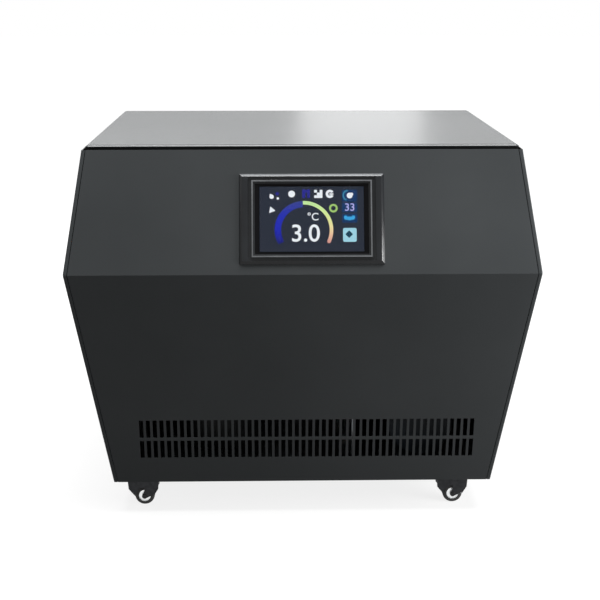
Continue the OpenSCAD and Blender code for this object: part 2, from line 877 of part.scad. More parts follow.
module fan_motor() {
    color("#3b3d40") translate([fan_x, 0, fan_z]) {
        post_y(stator_r, cup_y + hub_cup_t * 4, rear_y);
        post_y(shaft_r, cup_y - hub_cup_t, cup_y + hub_cup_t * 4);
    }
}

module fan_blade() {
    mid = cup_y + hub_cup_l / 2;
    color("#1d1f21") translate([fan_x, 0, fan_z]) {
        difference() {
            post_y(hub_cup_r, cup_y, cup_y + hub_cup_l, 96);
            post_y(hub_cup_r - hub_cup_t, cup_y + hub_cup_t, cup_y + hub_cup_l + over, 96);
            post_y(shaft_r + run_gap, cup_y - over, cup_y + hub_cup_t + over);
        }
        intersection() {
            difference() {
                post_y(fan_r, cup_y, cup_y + hub_cup_l, 96);
                post_y(hub_cup_r - hub_cup_t / 2, cup_y - over, cup_y + hub_cup_l + over, 96);
            }
            for (i = [0:fan_n - 1]) rotate([0, i * 360 / fan_n, 0])
                translate([hub_cup_r - hub_cup_t, mid, 0]) rotate([blade_pitch, 0, 0])
                    translate([0, -blade_t / 2, -fan_r * sin(blade_arc)])
                        cube([fan_r, blade_t, 2 * fan_r * sin(blade_arc)]);
        }
    }
}

// Compressor

foot_h = 12;
foot_r = 11;
foot_t = 3;
comp_wall = 12;
comp_round = 24;
comp_stub_r = 6;
comp_stub_h = 8;
discharge_dx = 20;
suction_dx = -20;
comp_z = pan_top + foot_h + foot_t;
comp_top = comp_z + comp_h;
boss_w = 50;
boss_h = 60;
boss_out = 3;
cover_t = 22;
boss_z = comp_z + comp_h * 0.7;

module comp_profile(r, h, round) {
    translate([0, 0]) square([r - round, h]);
    translate([0, round]) square([r, h - 2 * round]);
    for (z = [round, h - round]) translate([r - round, z]) circle(round);
}

module compressor_shell() {
    spread = comp_r + foot_r / 2;
    color("#1e1f21") translate([comp_x, comp_y, comp_z]) difference() {
        union() {
            rotate_extrude() intersection() {
                comp_profile(comp_r, comp_h, comp_round);
                square([comp_r, comp_h]);
            }
            translate([-spread, -spread, -foot_t]) cube([2 * spread, 2 * spread, foot_t + over]);
            for (dx = [discharge_dx, suction_dx]) translate([dx, 0, comp_h - comp_stub_h])
                cylinder(r = comp_stub_r, h = 2 * comp_stub_h);
            translate([0, -boss_w / 2, boss_z - comp_z - boss_h / 2])
                cube([comp_r + boss_out, boss_w, boss_h]);
        }
        translate([0, 0, comp_wall]) cylinder(r = comp_r - comp_wall, h = comp_h - 2 * comp_wall);
    }
}

module compressor_feet() {
    spread = comp_r - foot_r / 2;
    color("#141414") for (sx = [-1, 1], sy = [-1, 1])
        translate([comp_x + sx * spread, comp_y + sy * spread, pan_top]) difference() {
            cylinder(r = foot_r, h = foot_h);
            translate([0, 0, -over]) cylinder(r = screw_hole_r, h = foot_h + 2 * over);
        }
}

module terminal_cover() {
    color("#17181a") difference() {
        translate([comp_x + comp_r + boss_out, comp_y - boss_w / 2, boss_z - boss_h / 2])
            cube([cover_t, boss_w, boss_h]);
        translate([comp_x + comp_r + boss_out - over, comp_y - boss_w / 2 + display_wall,
            boss_z - boss_h / 2 + display_wall])
            cube([cover_t - display_wall + over, boss_w - 2 * display_wall, boss_h - 2 * display_wall]);
    }
}

// Heat exchanger: the shell holds water, the coil inside it holds refrigerant

exch_wall = 4;
exch_top = pan_top + exch_h;
exch_in_up = 155;
exch_out_dx = outlet_x - exch_x;
exch_out_dy = 20;
coil_r = 40;
riser_r = 24;
coil_steps = 16;
coil_sides = 8;
coil_low = 30;
coil_high = 26;
stub_up = 22;
coil_stub_up = 12;
exch_in_z = pan_top + exch_in_up;

module exchanger_shell() {
    color("#d8d9da") translate([exch_x, exch_y, pan_top]) difference() {
        union() {
            cylinder(r = exch_r, h = exch_h, $fn = 96);
            translate([exch_out_dx, exch_out_dy, exch_h - exch_wall])
                cylinder(r = spigot_r, h = exch_wall + stub_up);
            translate([0, 0, exch_in_up]) post_y(spigot_r, -exch_r - stub_up, -exch_r * 0.9);
        }
        translate([0, 0, exch_wall])
            cylinder(r = exch_r - exch_wall, h = exch_h - 2 * exch_wall, $fn = 96);
        translate([exch_out_dx, exch_out_dy, exch_h - exch_wall - over])
            cylinder(r = port_bore, h = exch_wall + stub_up + 2 * over);
        translate([0, 0, exch_in_up]) post_y(port_bore, -exch_r - stub_up - over, -exch_r * 0.8);
        for (y = [-coil_r, riser_r]) translate([0, y, exch_h - exch_wall - over])
            cylinder(r = coil_tube_r + free_gap, h = exch_wall + 2 * over);
    }
}

// Places along the coil: [angle, radius, height]
coil_span = exch_h - coil_low - coil_high;
coil_turns = [for (i = [0:coil_n * coil_steps])
    [-90 + 360 * i / coil_steps, coil_r, exch_h - coil_high - coil_span * i / (coil_n * coil_steps)]];
coil_in = [for (i = [1:coil_steps / 2])
    [-90 + 360 * i / coil_steps, coil_r + (riser_r - coil_r) * 2 * i / coil_steps, coil_low]];
coil_path = concat([[-90, coil_r, exch_h + coil_stub_up]], coil_turns, coil_in,
    [[90, riser_r, exch_h + coil_stub_up]]);
function place(q) = [q[1] * cos(q[0]), q[1] * sin(q[0]), q[2]];
function coil_ring(i) = let (
        last = len(coil_path) - 1,
        a = place(coil_path[max(i - 1, 0)]),
        b = place(coil_path[min(i + 1, last)]),
        t = unit(b - a),
        n = [cos(coil_path[i][0]), sin(coil_path[i][0]), 0],
        m = unit(cross(t, n)))
    [for (k = [0:coil_sides - 1]) let (w = 360 * k / coil_sides)
        place(coil_path[i]) + coil_tube_r * (cos(w) * n + sin(w) * m)];

module exchanger_coil() {
    n = len(coil_path);
    rings = [for (i = [0:n - 1]) each coil_ring(i)];
    sides = [for (i = [0:n - 2], k = [0:coil_sides - 1]) let (
            a = i * coil_sides + k, b = i * coil_sides + (k + 1) % coil_sides)
        [a, b, b + coil_sides, a + coil_sides]];
    first = [for (k = [coil_sides - 1:-1:0]) k];
    final = [for (k = [0:coil_sides - 1]) (n - 1) * coil_sides + k];
    color("#8d8f95") translate([exch_x, exch_y, pan_top])
        polyhedron(rings, concat(sides, [first], [final]));
}

// Refrigerant pipes

drier_r = 12;
drier_l = 90;
drier_in = 16;
drier_x = partition_x - drier_in;
drier_fore = 102;
drier_y = exch_y - drier_fore;
drier_up = 104;
drier_z = pan_top + drier_up;
liquid_z = pan_top + cond_h / bend_n;
suction_up = 354;
suction_z = pan_top + suction_up;
capillary_up = 284;
capillary_z = pan_top + capillary_up;
capillary_r = 1.6;
suction_r = 5;
suction_bore = 4;
grommet_r = 6;
capillary_cross = [partition_x, drier_y, capillary_z];
comp_stub_top = comp_top + comp_stub_h;
cond_top = pan_top + cond_h;
// Straight end of a pipe before its first bend
pipe_end = 1;
discharge_z = max(comp_stub_top, cond_top) + pipe_bend + pipe_end;
cond_in_x = fan_x - cond_w * 0.38;
cond_mid_y = cond_y + cond_d / 2;
coil_stub_top = exch_top + coil_stub_up;

module discharge_pipe() {
    color("#b4764a") pipe([[comp_x + discharge_dx, comp_y, comp_stub_top],
        [comp_x + discharge_dx, comp_y, discharge_z],
        [comp_x + discharge_dx, cond_mid_y, discharge_z],
        [cond_in_x, cond_mid_y, discharge_z], [cond_in_x, cond_mid_y, cond_top]],
        pipe_r, pipe_bore, pipe_bend);
}

module liquid_pipe() {
    color("#b4764a") pipe([[fan_x + cond_w / 2, cond_mid_y, liquid_z],
        [drier_x, cond_mid_y, liquid_z], [drier_x, drier_y, liquid_z],
        [drier_x, drier_y, drier_z]], pipe_r, pipe_bore, pipe_r * 1.1);
}

module filter_drier() {
    color("#b4764a") translate([drier_x, drier_y, drier_z]) cylinder(r = drier_r, h = drier_l);
}

module capillary_tube() {
    color("#b4764a") run([[drier_x, drier_y, drier_z + drier_l],
        [drier_x, drier_y, capillary_z], [exch_x, drier_y, capillary_z],
        [exch_x, exch_y - coil_r, capillary_z], [exch_x, exch_y - coil_r, coil_stub_top]],
        capillary_r, capillary_r * 3);
}

module suction_pipe() {
    color("#1d1e20") pipe([[exch_x, exch_y + riser_r, coil_stub_top],
        [exch_x, exch_y + riser_r, suction_z], [comp_x + suction_dx, exch_y + riser_r, suction_z],
        [comp_x + suction_dx, comp_y, suction_z], [comp_x + suction_dx, comp_y, comp_stub_top]],
        suction_r, suction_bore, pipe_bend);
}

// Water pump and hoses

pump_x = exch_x;
pump_z = pan_top + pump_up;
volute_l = 44;
volute_wall = 6;
volute_cover = 6;
saddle_w = 60;
saddle_share = 0.76;
term_w = 40;
term_h = 12;
pump_shaft_r = 4;
impeller_r = 33;
impeller_t = 3;
vane_n = 6;
vane_t = 2.5;
vane_h = 16;
boss_r = 8;
impeller_gap = 2;
hose_wall = 2.8;
hose_fit = 0.2;
hose_bend = 22;
hose_r = spigot_r + hose_fit + hose_wall;
volute_y = pump_y;
motor_y = volute_y - motor_l;
inlet_stub = 26;
hose_low_z = pump_z;
outlet_up = 24;

module pump_body() {
    color("#202224") translate([pump_x, 0, pump_z]) difference() {
        union() {
            post_y(volute_r, volute_y, volute_y + volute_l, 96);
            post_y(spigot_r, volute_y + volute_l - volute_cover, volute_y + volute_l + inlet_stub);
            translate([0, volute_y + volute_l / 2, volute_r - volute_wall])
                cylinder(r = spigot_r, h = volute_wall + outlet_up);
        }
        post_y(volute_r - volute_wall, volute_y + volute_wall, volute_y + volute_l - volute_cover, 96);
        post_y(port_bore, volute_y + volute_l - 2 * volute_cover, volute_y + volute_l + inlet_stub + over);
        translate([0, volute_y + volute_l / 2, volute_r - 2 * volute_wall])
            cylinder(r = port_bore, h = 2 * volute_wall + outlet_up + over);
        post_y(pump_shaft_r + free_gap, volute_y - over, volute_y + 2 * volute_wall);
    }
}

module pump_motor() {
    color("#2d4d63") translate([pump_x, 0, pump_z]) {
        post_y(motor_r, motor_y, volute_y);
        post_y(pump_shaft_r, volute_y - over, volute_y + volute_wall + impeller_gap + boss_r);
        difference() {
            translate([-saddle_w / 2, motor_y + motor_l * (1 - saddle_share) / 2, -pump_up])
                cube([saddle_w, motor_l * saddle_share, pump_up]);
            post_y(motor_r - over, motor_y - over, volute_y + over);
        }
        translate([-term_w / 2, motor_y + motor_l / 2 - term_w / 2, motor_r - term_h / 2])
            cube([term_w, term_w, term_h]);
    }
}

module pump_impeller() {
    y0 = volute_y + volute_wall + impeller_gap;
    color("#c9c2b0") translate([pump_x, 0, pump_z]) difference() {
        union() {
            post_y(impeller_r, y0, y0 + impeller_t);
            post_y(boss_r, y0, y0 + vane_h);
            intersection() {
                post_y(impeller_r, y0, y0 + vane_h);
                for (i = [0:vane_n - 1]) rotate([0, i * 360 / vane_n, 0])
                    translate([0, y0, -boss_r * 0.6]) cube([impeller_r, vane_h, vane_t]);
            }
        }
        post_y(pump_shaft_r + run_gap, y0 - over, y0 + vane_h + over);
    }
}

module hose(p) { pipe(p, hose_r, spigot_r + hose_fit, hose_bend); }

module inlet_hose() {
    color("#1a1b1d") hose([[inlet_x, rear_y - nut_t - 3 * sheet - over, port_z],
        [inlet_x, hose_y, port_z], [inlet_x, hose_y, hose_low_z], [pump_x, hose_y, hose_low_z],
        [pump_x, volute_y + volute_l + over, hose_low_z]]);
}

module transfer_hose() {
    y = volute_y + volute_l / 2;
    color("#1a1b1d") hose([[pump_x, y, pump_z + volute_r + over], [pump_x, y, exch_in_z],
        [pump_x, exch_y - exch_r - over, exch_in_z]]);
}

module outlet_hose() {
    y = exch_y + exch_out_dy;
    color("#1a1b1d") hose([[outlet_x, y, exch_top + over], [outlet_x, y, port_z],
        [outlet_x, rear_y - nut_t - 3 * sheet - over, port_z]]);
}

// Control electrics

box_w = 42;
box_d = 120;
box_h = 100;
box_wall = 2;
box_x = partition_x + sheet;
box_back = 22;
box_y = partition_y + box_back;
box_up = 225;
box_z = pan_top + box_up;
cap_r = 16;
cap_l = 56;
cable_r = 3;
cable_bend = 8;
cable_cross_y = box_y + box_d * 0.75;
cable_up = 154;
cable_cross_z = pan_top + cable_up;
cable_cross = [partition_x, cable_cross_y, cable_cross_z];
cover_x = comp_x + comp_r + boss_out + cover_t;

module control_box() {
    color("#4a4d50") difference() {
        translate([box_x, box_y, box_z]) cube([box_w, box_d, box_h]);
        translate([box_x + box_wall, box_y + box_wall, box_z + box_wall])
            cube([box_w - 2 * box_wall, box_d - 2 * box_wall, box_h - 2 * box_wall]);
    }
}

module control_board() {
    w = box_d - 8 * box_wall;
    h = box_h - 8 * box_wall;
    x = box_x + 4 * box_wall;
    color("#1f6b45") {
        translate([x, box_y + 4 * box_wall, box_z + 4 * box_wall]) cube([board_t, w, h]);
        for (sy = [0, 1], sz = [0, 1])
            translate([box_x + box_wall, box_y + 5 * box_wall + sy * (w - 2 * box_wall),
                box_z + 5 * box_wall + sz * (h - 2 * box_wall)])
                rotate([0, 90, 0]) cylinder(r = box_wall, h = 3 * box_wall);
        translate([x + board_t, box_y + box_d / 4, box_z + box_h / 4])
            cube([box_w / 3, box_d / 5, box_h / 5]);
        translate([x + board_t, box_y + box_d / 2, box_z + box_h / 2])
            cube([box_w / 4, box_d / 4, box_h / 6]);
    }
}

module wiring_loom() {
    end = housing_end();
    color("#16171a") {
        run([[box_x + box_w * 0.75, box_y, end.z], [box_x + box_w * 0.75, end.y, end.z], end],
            cable_r, cable_bend);
        run([[box_x + box_w / 2, box_y + box_d / 4, box_z],
            [box_x + box_w / 2, box_y + box_d / 4, cable_cross_z],
            [pump_x, box_y + box_d / 4, cable_cross_z],
            [pump_x, box_y + box_d / 4, pump_z + motor_r + term_h / 2]], cable_r, cable_bend);
        run([[box_x + cable_r * 3, box_y + box_d, box_z + box_h / 5],
            [box_x + cable_r * 3, rear_y - socket_d / 2, box_z + box_h / 5],
            [box_x + cable_r * 3, rear_y - socket_d / 2, power_z],
            [power_x - socket_w / 2 + free_gap, rear_y - socket_d / 2, power_z]], cable_r, cable_bend);
        run([[box_x + cable_r * 3, cable_cross_y, box_z],
            [box_x + cable_r * 3, cable_cross_y, cable_cross_z],
            [cover_x + cover_t, cable_cross_y, cable_cross_z], [cover_x + cover_t, comp_y, cable_cross_z],
            [cover_x, comp_y, cable_cross_z]], cable_r, cable_bend);
    }
}

// Where the display's cable meets the right side of its housing
function housing_end() = let (
        v = bezel_up + bezel_h * 0.3,
        n = sleeve_d + housing_d * 0.7)
    [display_shift + sleeve_w / 2,
     fold_y + v * sin(lean_up) + n * cos(lean_up),
     fold_h + v * cos(lean_up) - n * sin(lean_up)];

base_pan();
front_panel();
side_panel(-1);  // left_side_panel
side_panel(1);  // right_side_panel
rear_panel();
top_cover();
partition_plate();
casing_screws();
display_bezel();
display_glass();
display_screen();
display_board();
display_housing();
castor_plate(CORNERS[0]);  // castor_plate_fl
castor_plate(CORNERS[1]);  // castor_plate_fr
castor_plate(CORNERS[2]);  // castor_plate_rl
castor_plate(CORNERS[3]);  // castor_plate_rr
castor_fork(CORNERS[0]);  // castor_fork_fl
castor_fork(CORNERS[1]);  // castor_fork_fr
castor_fork(CORNERS[2]);  // castor_fork_rl
castor_fork(CORNERS[3]);  // castor_fork_rr
castor_axle(CORNERS[0]);  // castor_axle_fl
castor_axle(CORNERS[1]);  // castor_axle_fr
castor_axle(CORNERS[2]);  // castor_axle_rl
castor_axle(CORNERS[3]);  // castor_axle_rr
castor_wheel(CORNERS[0]);  // castor_wheel_fl
castor_wheel(CORNERS[1]);  // castor_wheel_fr
castor_wheel(CORNERS[2]);  // castor_wheel_rl
castor_wheel(CORNERS[3]);  // castor_wheel_rr
castor_screws();
fan_guard();
water_port(inlet_x);  // water_inlet
water_port(outlet_x);  // water_outlet
port_nuts();
power_inlet();
rocker_button();
condenser_fins();
condenser_tubes();
fan_shroud();
fan_motor();
fan_blade();
compressor_shell();
compressor_feet();
terminal_cover();
exchanger_shell();
exchanger_coil();
filter_drier();
discharge_pipe();
liquid_pipe();
capillary_tube();
suction_pipe();
pump_body();
pump_motor();
pump_impeller();
inlet_hose();
transfer_hose();
outlet_hose();
control_box();
control_board();
wiring_loom();
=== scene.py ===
"""Water chiller for an ice bath: sheet-metal casing, touch display, castors, ports and fan.

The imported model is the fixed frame. Each operator builds one piece or group of like pieces
in the same place as its CAD node, in metres: X to the right, -Y to the viewer, Z up.
"""

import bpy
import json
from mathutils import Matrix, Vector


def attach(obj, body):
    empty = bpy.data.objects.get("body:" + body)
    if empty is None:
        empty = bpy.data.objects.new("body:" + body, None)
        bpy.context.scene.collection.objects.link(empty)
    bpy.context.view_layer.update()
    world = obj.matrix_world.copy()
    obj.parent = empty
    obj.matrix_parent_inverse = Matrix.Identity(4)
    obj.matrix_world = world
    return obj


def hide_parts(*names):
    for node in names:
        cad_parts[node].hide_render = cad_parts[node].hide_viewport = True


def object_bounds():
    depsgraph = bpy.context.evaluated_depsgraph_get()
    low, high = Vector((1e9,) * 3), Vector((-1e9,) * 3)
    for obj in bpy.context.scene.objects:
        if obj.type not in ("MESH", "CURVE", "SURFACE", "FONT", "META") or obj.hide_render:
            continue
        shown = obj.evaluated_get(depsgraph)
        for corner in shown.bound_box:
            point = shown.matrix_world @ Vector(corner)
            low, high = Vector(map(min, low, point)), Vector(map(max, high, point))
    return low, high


bl_info = {
    "name": "Ice bath chiller",
    "version": (1, 0, 0),
    "blender": (4, 5, 0),
    "location": "3D View > Sidebar > Chiller",
    "description": "Models and finishes a water chiller around its CAD frame",
    "category": "Object",
}

import json
from math import atan2, hypot, radians

import bmesh
import bpy
from bpy.props import (FloatProperty, FloatVectorProperty, IntProperty, PointerProperty,
                       StringProperty)
from mathutils import Matrix, Vector

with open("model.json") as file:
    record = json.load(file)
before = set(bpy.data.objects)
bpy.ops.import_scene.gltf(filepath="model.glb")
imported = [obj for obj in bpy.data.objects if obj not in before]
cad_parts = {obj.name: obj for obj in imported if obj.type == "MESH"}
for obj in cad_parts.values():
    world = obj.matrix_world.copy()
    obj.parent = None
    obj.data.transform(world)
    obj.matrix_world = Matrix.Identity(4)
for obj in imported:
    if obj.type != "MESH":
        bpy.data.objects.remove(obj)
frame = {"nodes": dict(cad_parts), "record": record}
CAD_LOW, CAD_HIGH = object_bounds()
MM = 0.001


def linear(hex_colour):
    """An sRGB hex colour as the linear RGBA that Blender's nodes and lamps take."""
    parts = [int(hex_colour[i:i + 2], 16) / 255 for i in (0, 2, 4)]
    return tuple(p / 12.92 if p <= 0.04045 else ((p + 0.055) / 1.055) ** 2.4
                 for p in parts) + (1.0,)


def turn(degrees, axis):
    """A rotation about an axis through the origin."""
    return Matrix.Rotation(radians(degrees), 4, axis)


def shift(x, y, z):
    """A move by x, y and z."""
    return Matrix.Translation((x, y, z))


# ---------------------------------------------------------------- sizes of the frame, metres

TOP_Z = CAD_HIGH.z
FOLD_Z, BASE_Z = 320 * MM, 44 * MM
FOLD_Y, TOP_Y, TOE_Y, REAR_Y = -242 * MM, -190 * MM, -196 * MM, 208 * MM
FOLD_X, TOP_X, TOE_X = 280 * MM, 259 * MM, 236 * MM
SHEET, STRIP, SEAM, LIP, FLANGE = 1.2 * MM, 4.5 * MM, 0.8 * MM, 5 * MM, 14 * MM
GASKET_T = 1.6 * MM
PANEL_TOP = TOP_Z - LIP - SEAM
FACE_LOW = hypot(TOE_Y - FOLD_Y, FOLD_Z - BASE_Z)
SIDE_FOLD, FRONT_FOLD = Vector((FOLD_X, 0, FOLD_Z)), Vector((0, FOLD_Y, FOLD_Z))

# Outward normals of the right side and of the front, below and above their folds
SIDE_LOW = Vector((FOLD_Z - BASE_Z, 0, TOE_X - FOLD_X)).normalized()
SIDE_UP = Vector((TOP_Z - FOLD_Z, 0, FOLD_X - TOP_X)).normalized()
FRONT_LOW = Vector((0, BASE_Z - FOLD_Z, FOLD_Y - TOE_Y)).normalized()
FRONT_UP = Vector((0, FOLD_Z - TOP_Z, TOP_Y - FOLD_Y)).normalized()

# Places on the two front faces: X along the fold, Z up the face, -Y out of it
UPPER_FACE = Matrix.Translation(FRONT_FOLD) @ Matrix.Rotation(
    -atan2(TOP_Y - FOLD_Y, TOP_Z - FOLD_Z), 4, "X")
LOWER_FACE = Matrix.Translation(FRONT_FOLD) @ Matrix.Rotation(
    atan2(TOE_Y - FOLD_Y, FOLD_Z - BASE_Z), 4, "X")

# Display, with the halves of its opening and pane
BEZEL_W, BEZEL_H, BEZEL_PROUD, BEZEL_SLOPE = 170 * MM, 107 * MM, 4 * MM, 3.5 * MM
WINDOW_W, WINDOW_H = 133 * MM, 83 * MM
SCREEN_W, SCREEN_H, SCREEN_T = 122 * MM, 77 * MM, 4 * MM
OPENING_X, OPENING_Z, SLEEVE_GAP, SLEEVE_T = 71.8 * MM, 46.8 * MM, 0.3 * MM, 2 * MM
SLEEVE_DEEP = 6 * MM
PANE_X, PANE_Z = 69.2 * MM, 44.2 * MM
GLASS_Y, GLASS_T, GLASS_AIR = -0.8 * MM, 1.8 * MM, 0.5 * MM
DISPLAY = UPPER_FACE @ shift(10 * MM, 0, 12 * MM + BEZEL_H / 2)

# Intake slots, and how far a cutter reaches before and behind the sheet's face
SLOT_COUNT, SLOT_PITCH, ROW_PITCH, SLOT_UP, SLOT_SHIFT = 50, 8.3 * MM, 28.5 * MM, 61 * MM, 5 * MM
SLOT_CORNER = 0.5 * MM
CUT_FRONT, CUT_BACK = -3 * MM, 4 * MM

FAN = Vector((-85 * MM, REAR_Y, 190.22 * MM))
GUARD_DISC, GUARD_R = 42 * MM, 113 * MM
WHEEL_R, WHEEL_W, TRAIL, AXLE_R = 12.5 * MM, 14 * MM, 4 * MM, 2 * MM
PORT_Z = 359.5 * MM

# In millimetres: places of the castors and ports, then the power inlet's pins with their middles,
# half sizes, and how far their roots and tips lie behind the rear panel
CASTORS = {"fl": (-197.5, -158), "fr": (197.5, -158), "rl": (-197.5, 162), "rr": (197.5, 162)}
PORTS = {"water_inlet": 100, "water_outlet": 180}
PINS = ((143.85, 94.5), (150, 98.5), (156.15, 94.5))
PIN_HALF_W, PIN_HALF_H, PIN_ROOT, PIN_TIP = 1.05, 2.05, 16.4, 2.9

# Width of the rounds on small pressings, mouldings and seals
PRESSED = 0.3 * MM

# How near points lie that count as one in a cut, a merge or a copied CAD mesh, and how near a
# point lies to a plane that it is on
CUT_TOL, MERGE_TOL, CAD_TOL, NEAR = 0.001 * MM, 0.01 * MM, 0.002 * MM, 0.1 * MM


# ---------------------------------------------------------------- modelling helpers

def only(obj):
    """Makes obj the one selected and active object."""
    for other in bpy.context.selected_objects:
        other.select_set(False)
    bpy.context.view_layer.objects.active = obj
    obj.select_set(True)


def apply_place():
    bpy.ops.object.transform_apply(location=True, rotation=True, scale=True)


def added(name):
    """Names the object that a primitive operator has just added."""
    obj = bpy.context.active_object
    obj.name = obj.data.name = name
    only(obj)
    return obj


def place(obj, matrix):
    """Moves obj by matrix and applies its place, so the object ends at the origin."""
    only(obj)
    bpy.context.view_layer.update()
    obj.matrix_world = matrix @ obj.matrix_world
    apply_place()
    return obj


def open_edit(obj, kind="FACE"):
    """Edit mode on obj, with nothing selected."""
    only(obj)
    bpy.ops.object.mode_set(mode="EDIT")
    bpy.ops.mesh.select_mode(type=kind)
    bpy.ops.mesh.select_all(action="DESELECT")


def close_edit():
    bpy.ops.object.mode_set(mode="OBJECT")


def pick_all():
    bpy.ops.mesh.select_all(action="SELECT")


def pick(obj, kind, test):
    """In Edit mode, selects exactly the faces, edges or vertices that pass test."""
    bpy.ops.mesh.select_mode(type=kind)
    bpy.ops.mesh.select_all(action="DESELECT")
    mesh = bmesh.from_edit_mesh(obj.data)
    mesh.normal_update()
    for item in {"FACE": mesh.faces, "EDGE": mesh.edges, "VERT": mesh.verts}[kind]:
        if test(item):
            item.select_set(True)
    mesh.select_flush_mode()
    bmesh.update_edit_mesh(obj.data)


def middle(edge):
    return (edge.verts[0].co + edge.verts[1].co) / 2


def run_back(edge):
    """How far an edge runs from front to back."""
    return abs(edge.verts[0].co.y - edge.verts[1].co.y)


def edit(obj, kind, test, operator, **settings):
    """Runs one operator in Edit mode on what passes test, or on all of obj without one."""
    open_edit(obj, kind)
    if test:
        pick(obj, kind, test)
    else:
        pick_all()
    operator(**settings)
    close_edit()


def outward(obj):
    """Turns every face of obj outward."""
    edit(obj, "FACE", None, bpy.ops.mesh.normals_make_consistent, inside=False)


def modify(obj, kind, **settings):
    """Adds a modifier with its settings and applies it."""
    only(obj)
    modifier = obj.modifiers.new(kind.title(), kind)
    for key, value in settings.items():
        setattr(modifier, key, value)
    bpy.ops.object.modifier_apply(modifier=modifier.name)


def walled(obj, thickness):
    """Gives a sheet its thickness, inward."""
    modify(obj, "SOLIDIFY", thickness=thickness, offset=-1, use_even_offset=True)


def smooth(obj, angle=35):
    """Shades obj smooth but for edges sharper than angle."""
    only(obj)
    bpy.ops.object.shade_smooth_by_angle(angle=radians(angle))
    return obj


def rounded(obj, width, segments=2, angle=30):
    """Rounds the edges sharper than angle and shades the rounds smooth."""
    modify(obj, "BEVEL", width=width, segments=segments, limit_method="ANGLE",
           angle_limit=radians(angle), use_clamp_overlap=True, miter_outer="MITER_ARC")
    return smooth(obj)


def level(obj):
    """Lets the large faces lead the shading, so that flat sheets look flat beside their rounds."""
    modify(obj, "WEIGHTED_NORMAL", weight=100, keep_sharp=True)
    return obj


def box(name, low, high):
    """A cuboid between two corners, as the start of a piece."""
    low, high = Vector(low), Vector(high)
    bpy.ops.mesh.primitive_cube_add(size=1, location=(low + high) / 2)
    obj = added(name)
    obj.scale = high - low
    apply_place()
    return obj


def slab(name, half_w, half_h, front, back):
    """A flat box around the Y axis."""
    return box(name, (-half_w, front, -half_h), (half_w, back, half_h))


def turned(name, segments, rings):
    """A piece turned about Z: a circle extruded and resized through rings of radius and height in
    millimetres. The first and last ring are closed unless the profile ends where it began."""
    radius, height = rings[0]
    loop = rings[0] == rings[-1]
    bpy.ops.mesh.primitive_circle_add(vertices=segments, radius=radius * MM,
                                      location=(0, 0, height * MM))
    obj = added(name)
    apply_place()
    open_edit(obj, "EDGE")
    pick_all()
    if not loop:
        bpy.ops.mesh.edge_face_add()
    for r, z in rings[1:]:
        bpy.ops.mesh.extrude_edges_move(
            TRANSFORM_OT_translate={"value": (0, 0, (z - height) * MM)})
        bpy.ops.transform.resize(value=(r / radius, r / radius, 1), center_override=(0, 0, z * MM))
        radius, height = r, z
    if not loop:
        bpy.ops.mesh.edge_face_add()
    pick_all()
    bpy.ops.mesh.remove_doubles(threshold=CUT_TOL)
    bpy.ops.mesh.normals_make_consistent(inside=False)
    close_edit()
    return obj


def copied(obj, name):
    """A copy of obj with its own mesh."""
    only(obj)
    bpy.ops.object.duplicate(linked=False)
    return added(name)


def joined(objs, name):
    """One or more objects as one piece."""
    only(objs[0])
    for other in objs[1:]:
        other.select_set(True)
    if len(objs) > 1:
        bpy.ops.object.join()
    return added(name)


def from_cad(node, name, width, segments):
    """A piece that starts as a merged copy of a CAD node's mesh, with its edges rounded."""
    obj = bpy.data.objects.new(name, frame["nodes"][node].data.copy())
    bpy.context.scene.collection.objects.link(obj)
    obj.data.name = name
    obj.data.materials.clear()
    open_edit(obj)
    pick_all()
    bpy.ops.mesh.remove_doubles(threshold=CAD_TOL)
    bpy.ops.mesh.dissolve_limited(angle_limit=radians(0.5))
    close_edit()
    return level(rounded(obj, width, segments))


def coat(obj, material):
    """Gives the whole piece one material."""
    obj.data.materials.clear()
    obj.data.materials.append(material)
    return obj


def painted(obj, ground, second, *tests):
    """The finish ground all over, and the finish second on the faces that pass one of tests."""
    coat(obj, FINISHES[ground])
    obj.data.materials.append(FINISHES[second])
    obj.active_material_index = 1
    edit(obj, "FACE", lambda f: any(test(f) for test in tests),
         bpy.ops.object.material_slot_assign)
    return obj


def finished(obj, slot, body, *nodes, look=None):
    """Attaches a piece that is done to its body and hides the CAD nodes it replaces. A piece
    without a material gets the finish look, or else its slot's."""
    if not any(obj.data.materials):
        coat(obj, FINISHES[look or slot])
    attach(obj, body)
    if nodes:
        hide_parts(*nodes)


def softened(node, name, slot, body, width, segments=2, look=None):
    """A finished piece that replaces a CAD node and differs from it by its rounded edges."""
    obj = from_cad(node, name, width, segments)
    finished(obj, slot, body, node, look=look)
    return obj


# ---------------------------------------------------------------- materials

def add(tree, kind, links=None, **settings):
    """Adds one node. Settings are socket values or node attributes, links are socket: output."""
    item = tree.nodes.new("ShaderNode" + kind)
    for key, value in settings.items():
        label = key.replace("_", " ")
        found = [s for s in item.inputs if s.name == label]
        if found:
            found[0].default_value = value
        else:
            setattr(item, key, value)
    for key, output in (links or {}).items():
        socket = item.inputs[key] if isinstance(key, int) else next(
            s for s in item.inputs if s.name == key)
        tree.links.new(output, socket)
    return item


def new_material(name):
    """An empty material, its node tree and the place on the object in metres."""
    material = bpy.data.materials.new(name)
    material.use_nodes = True
    tree = material.node_tree
    tree.nodes.clear()
    return material, tree, add(tree, "TexCoord").outputs["Object"]


def noise(tree, at, size, detail=2.0, roughness=0.5):
    """The share of a noise with spots of the given size in millimetres."""
    return add(tree, "TexNoise", {"Vector": at}, Scale=1 / (size * MM), Detail=detail,
               Roughness=roughness).outputs["Fac"]


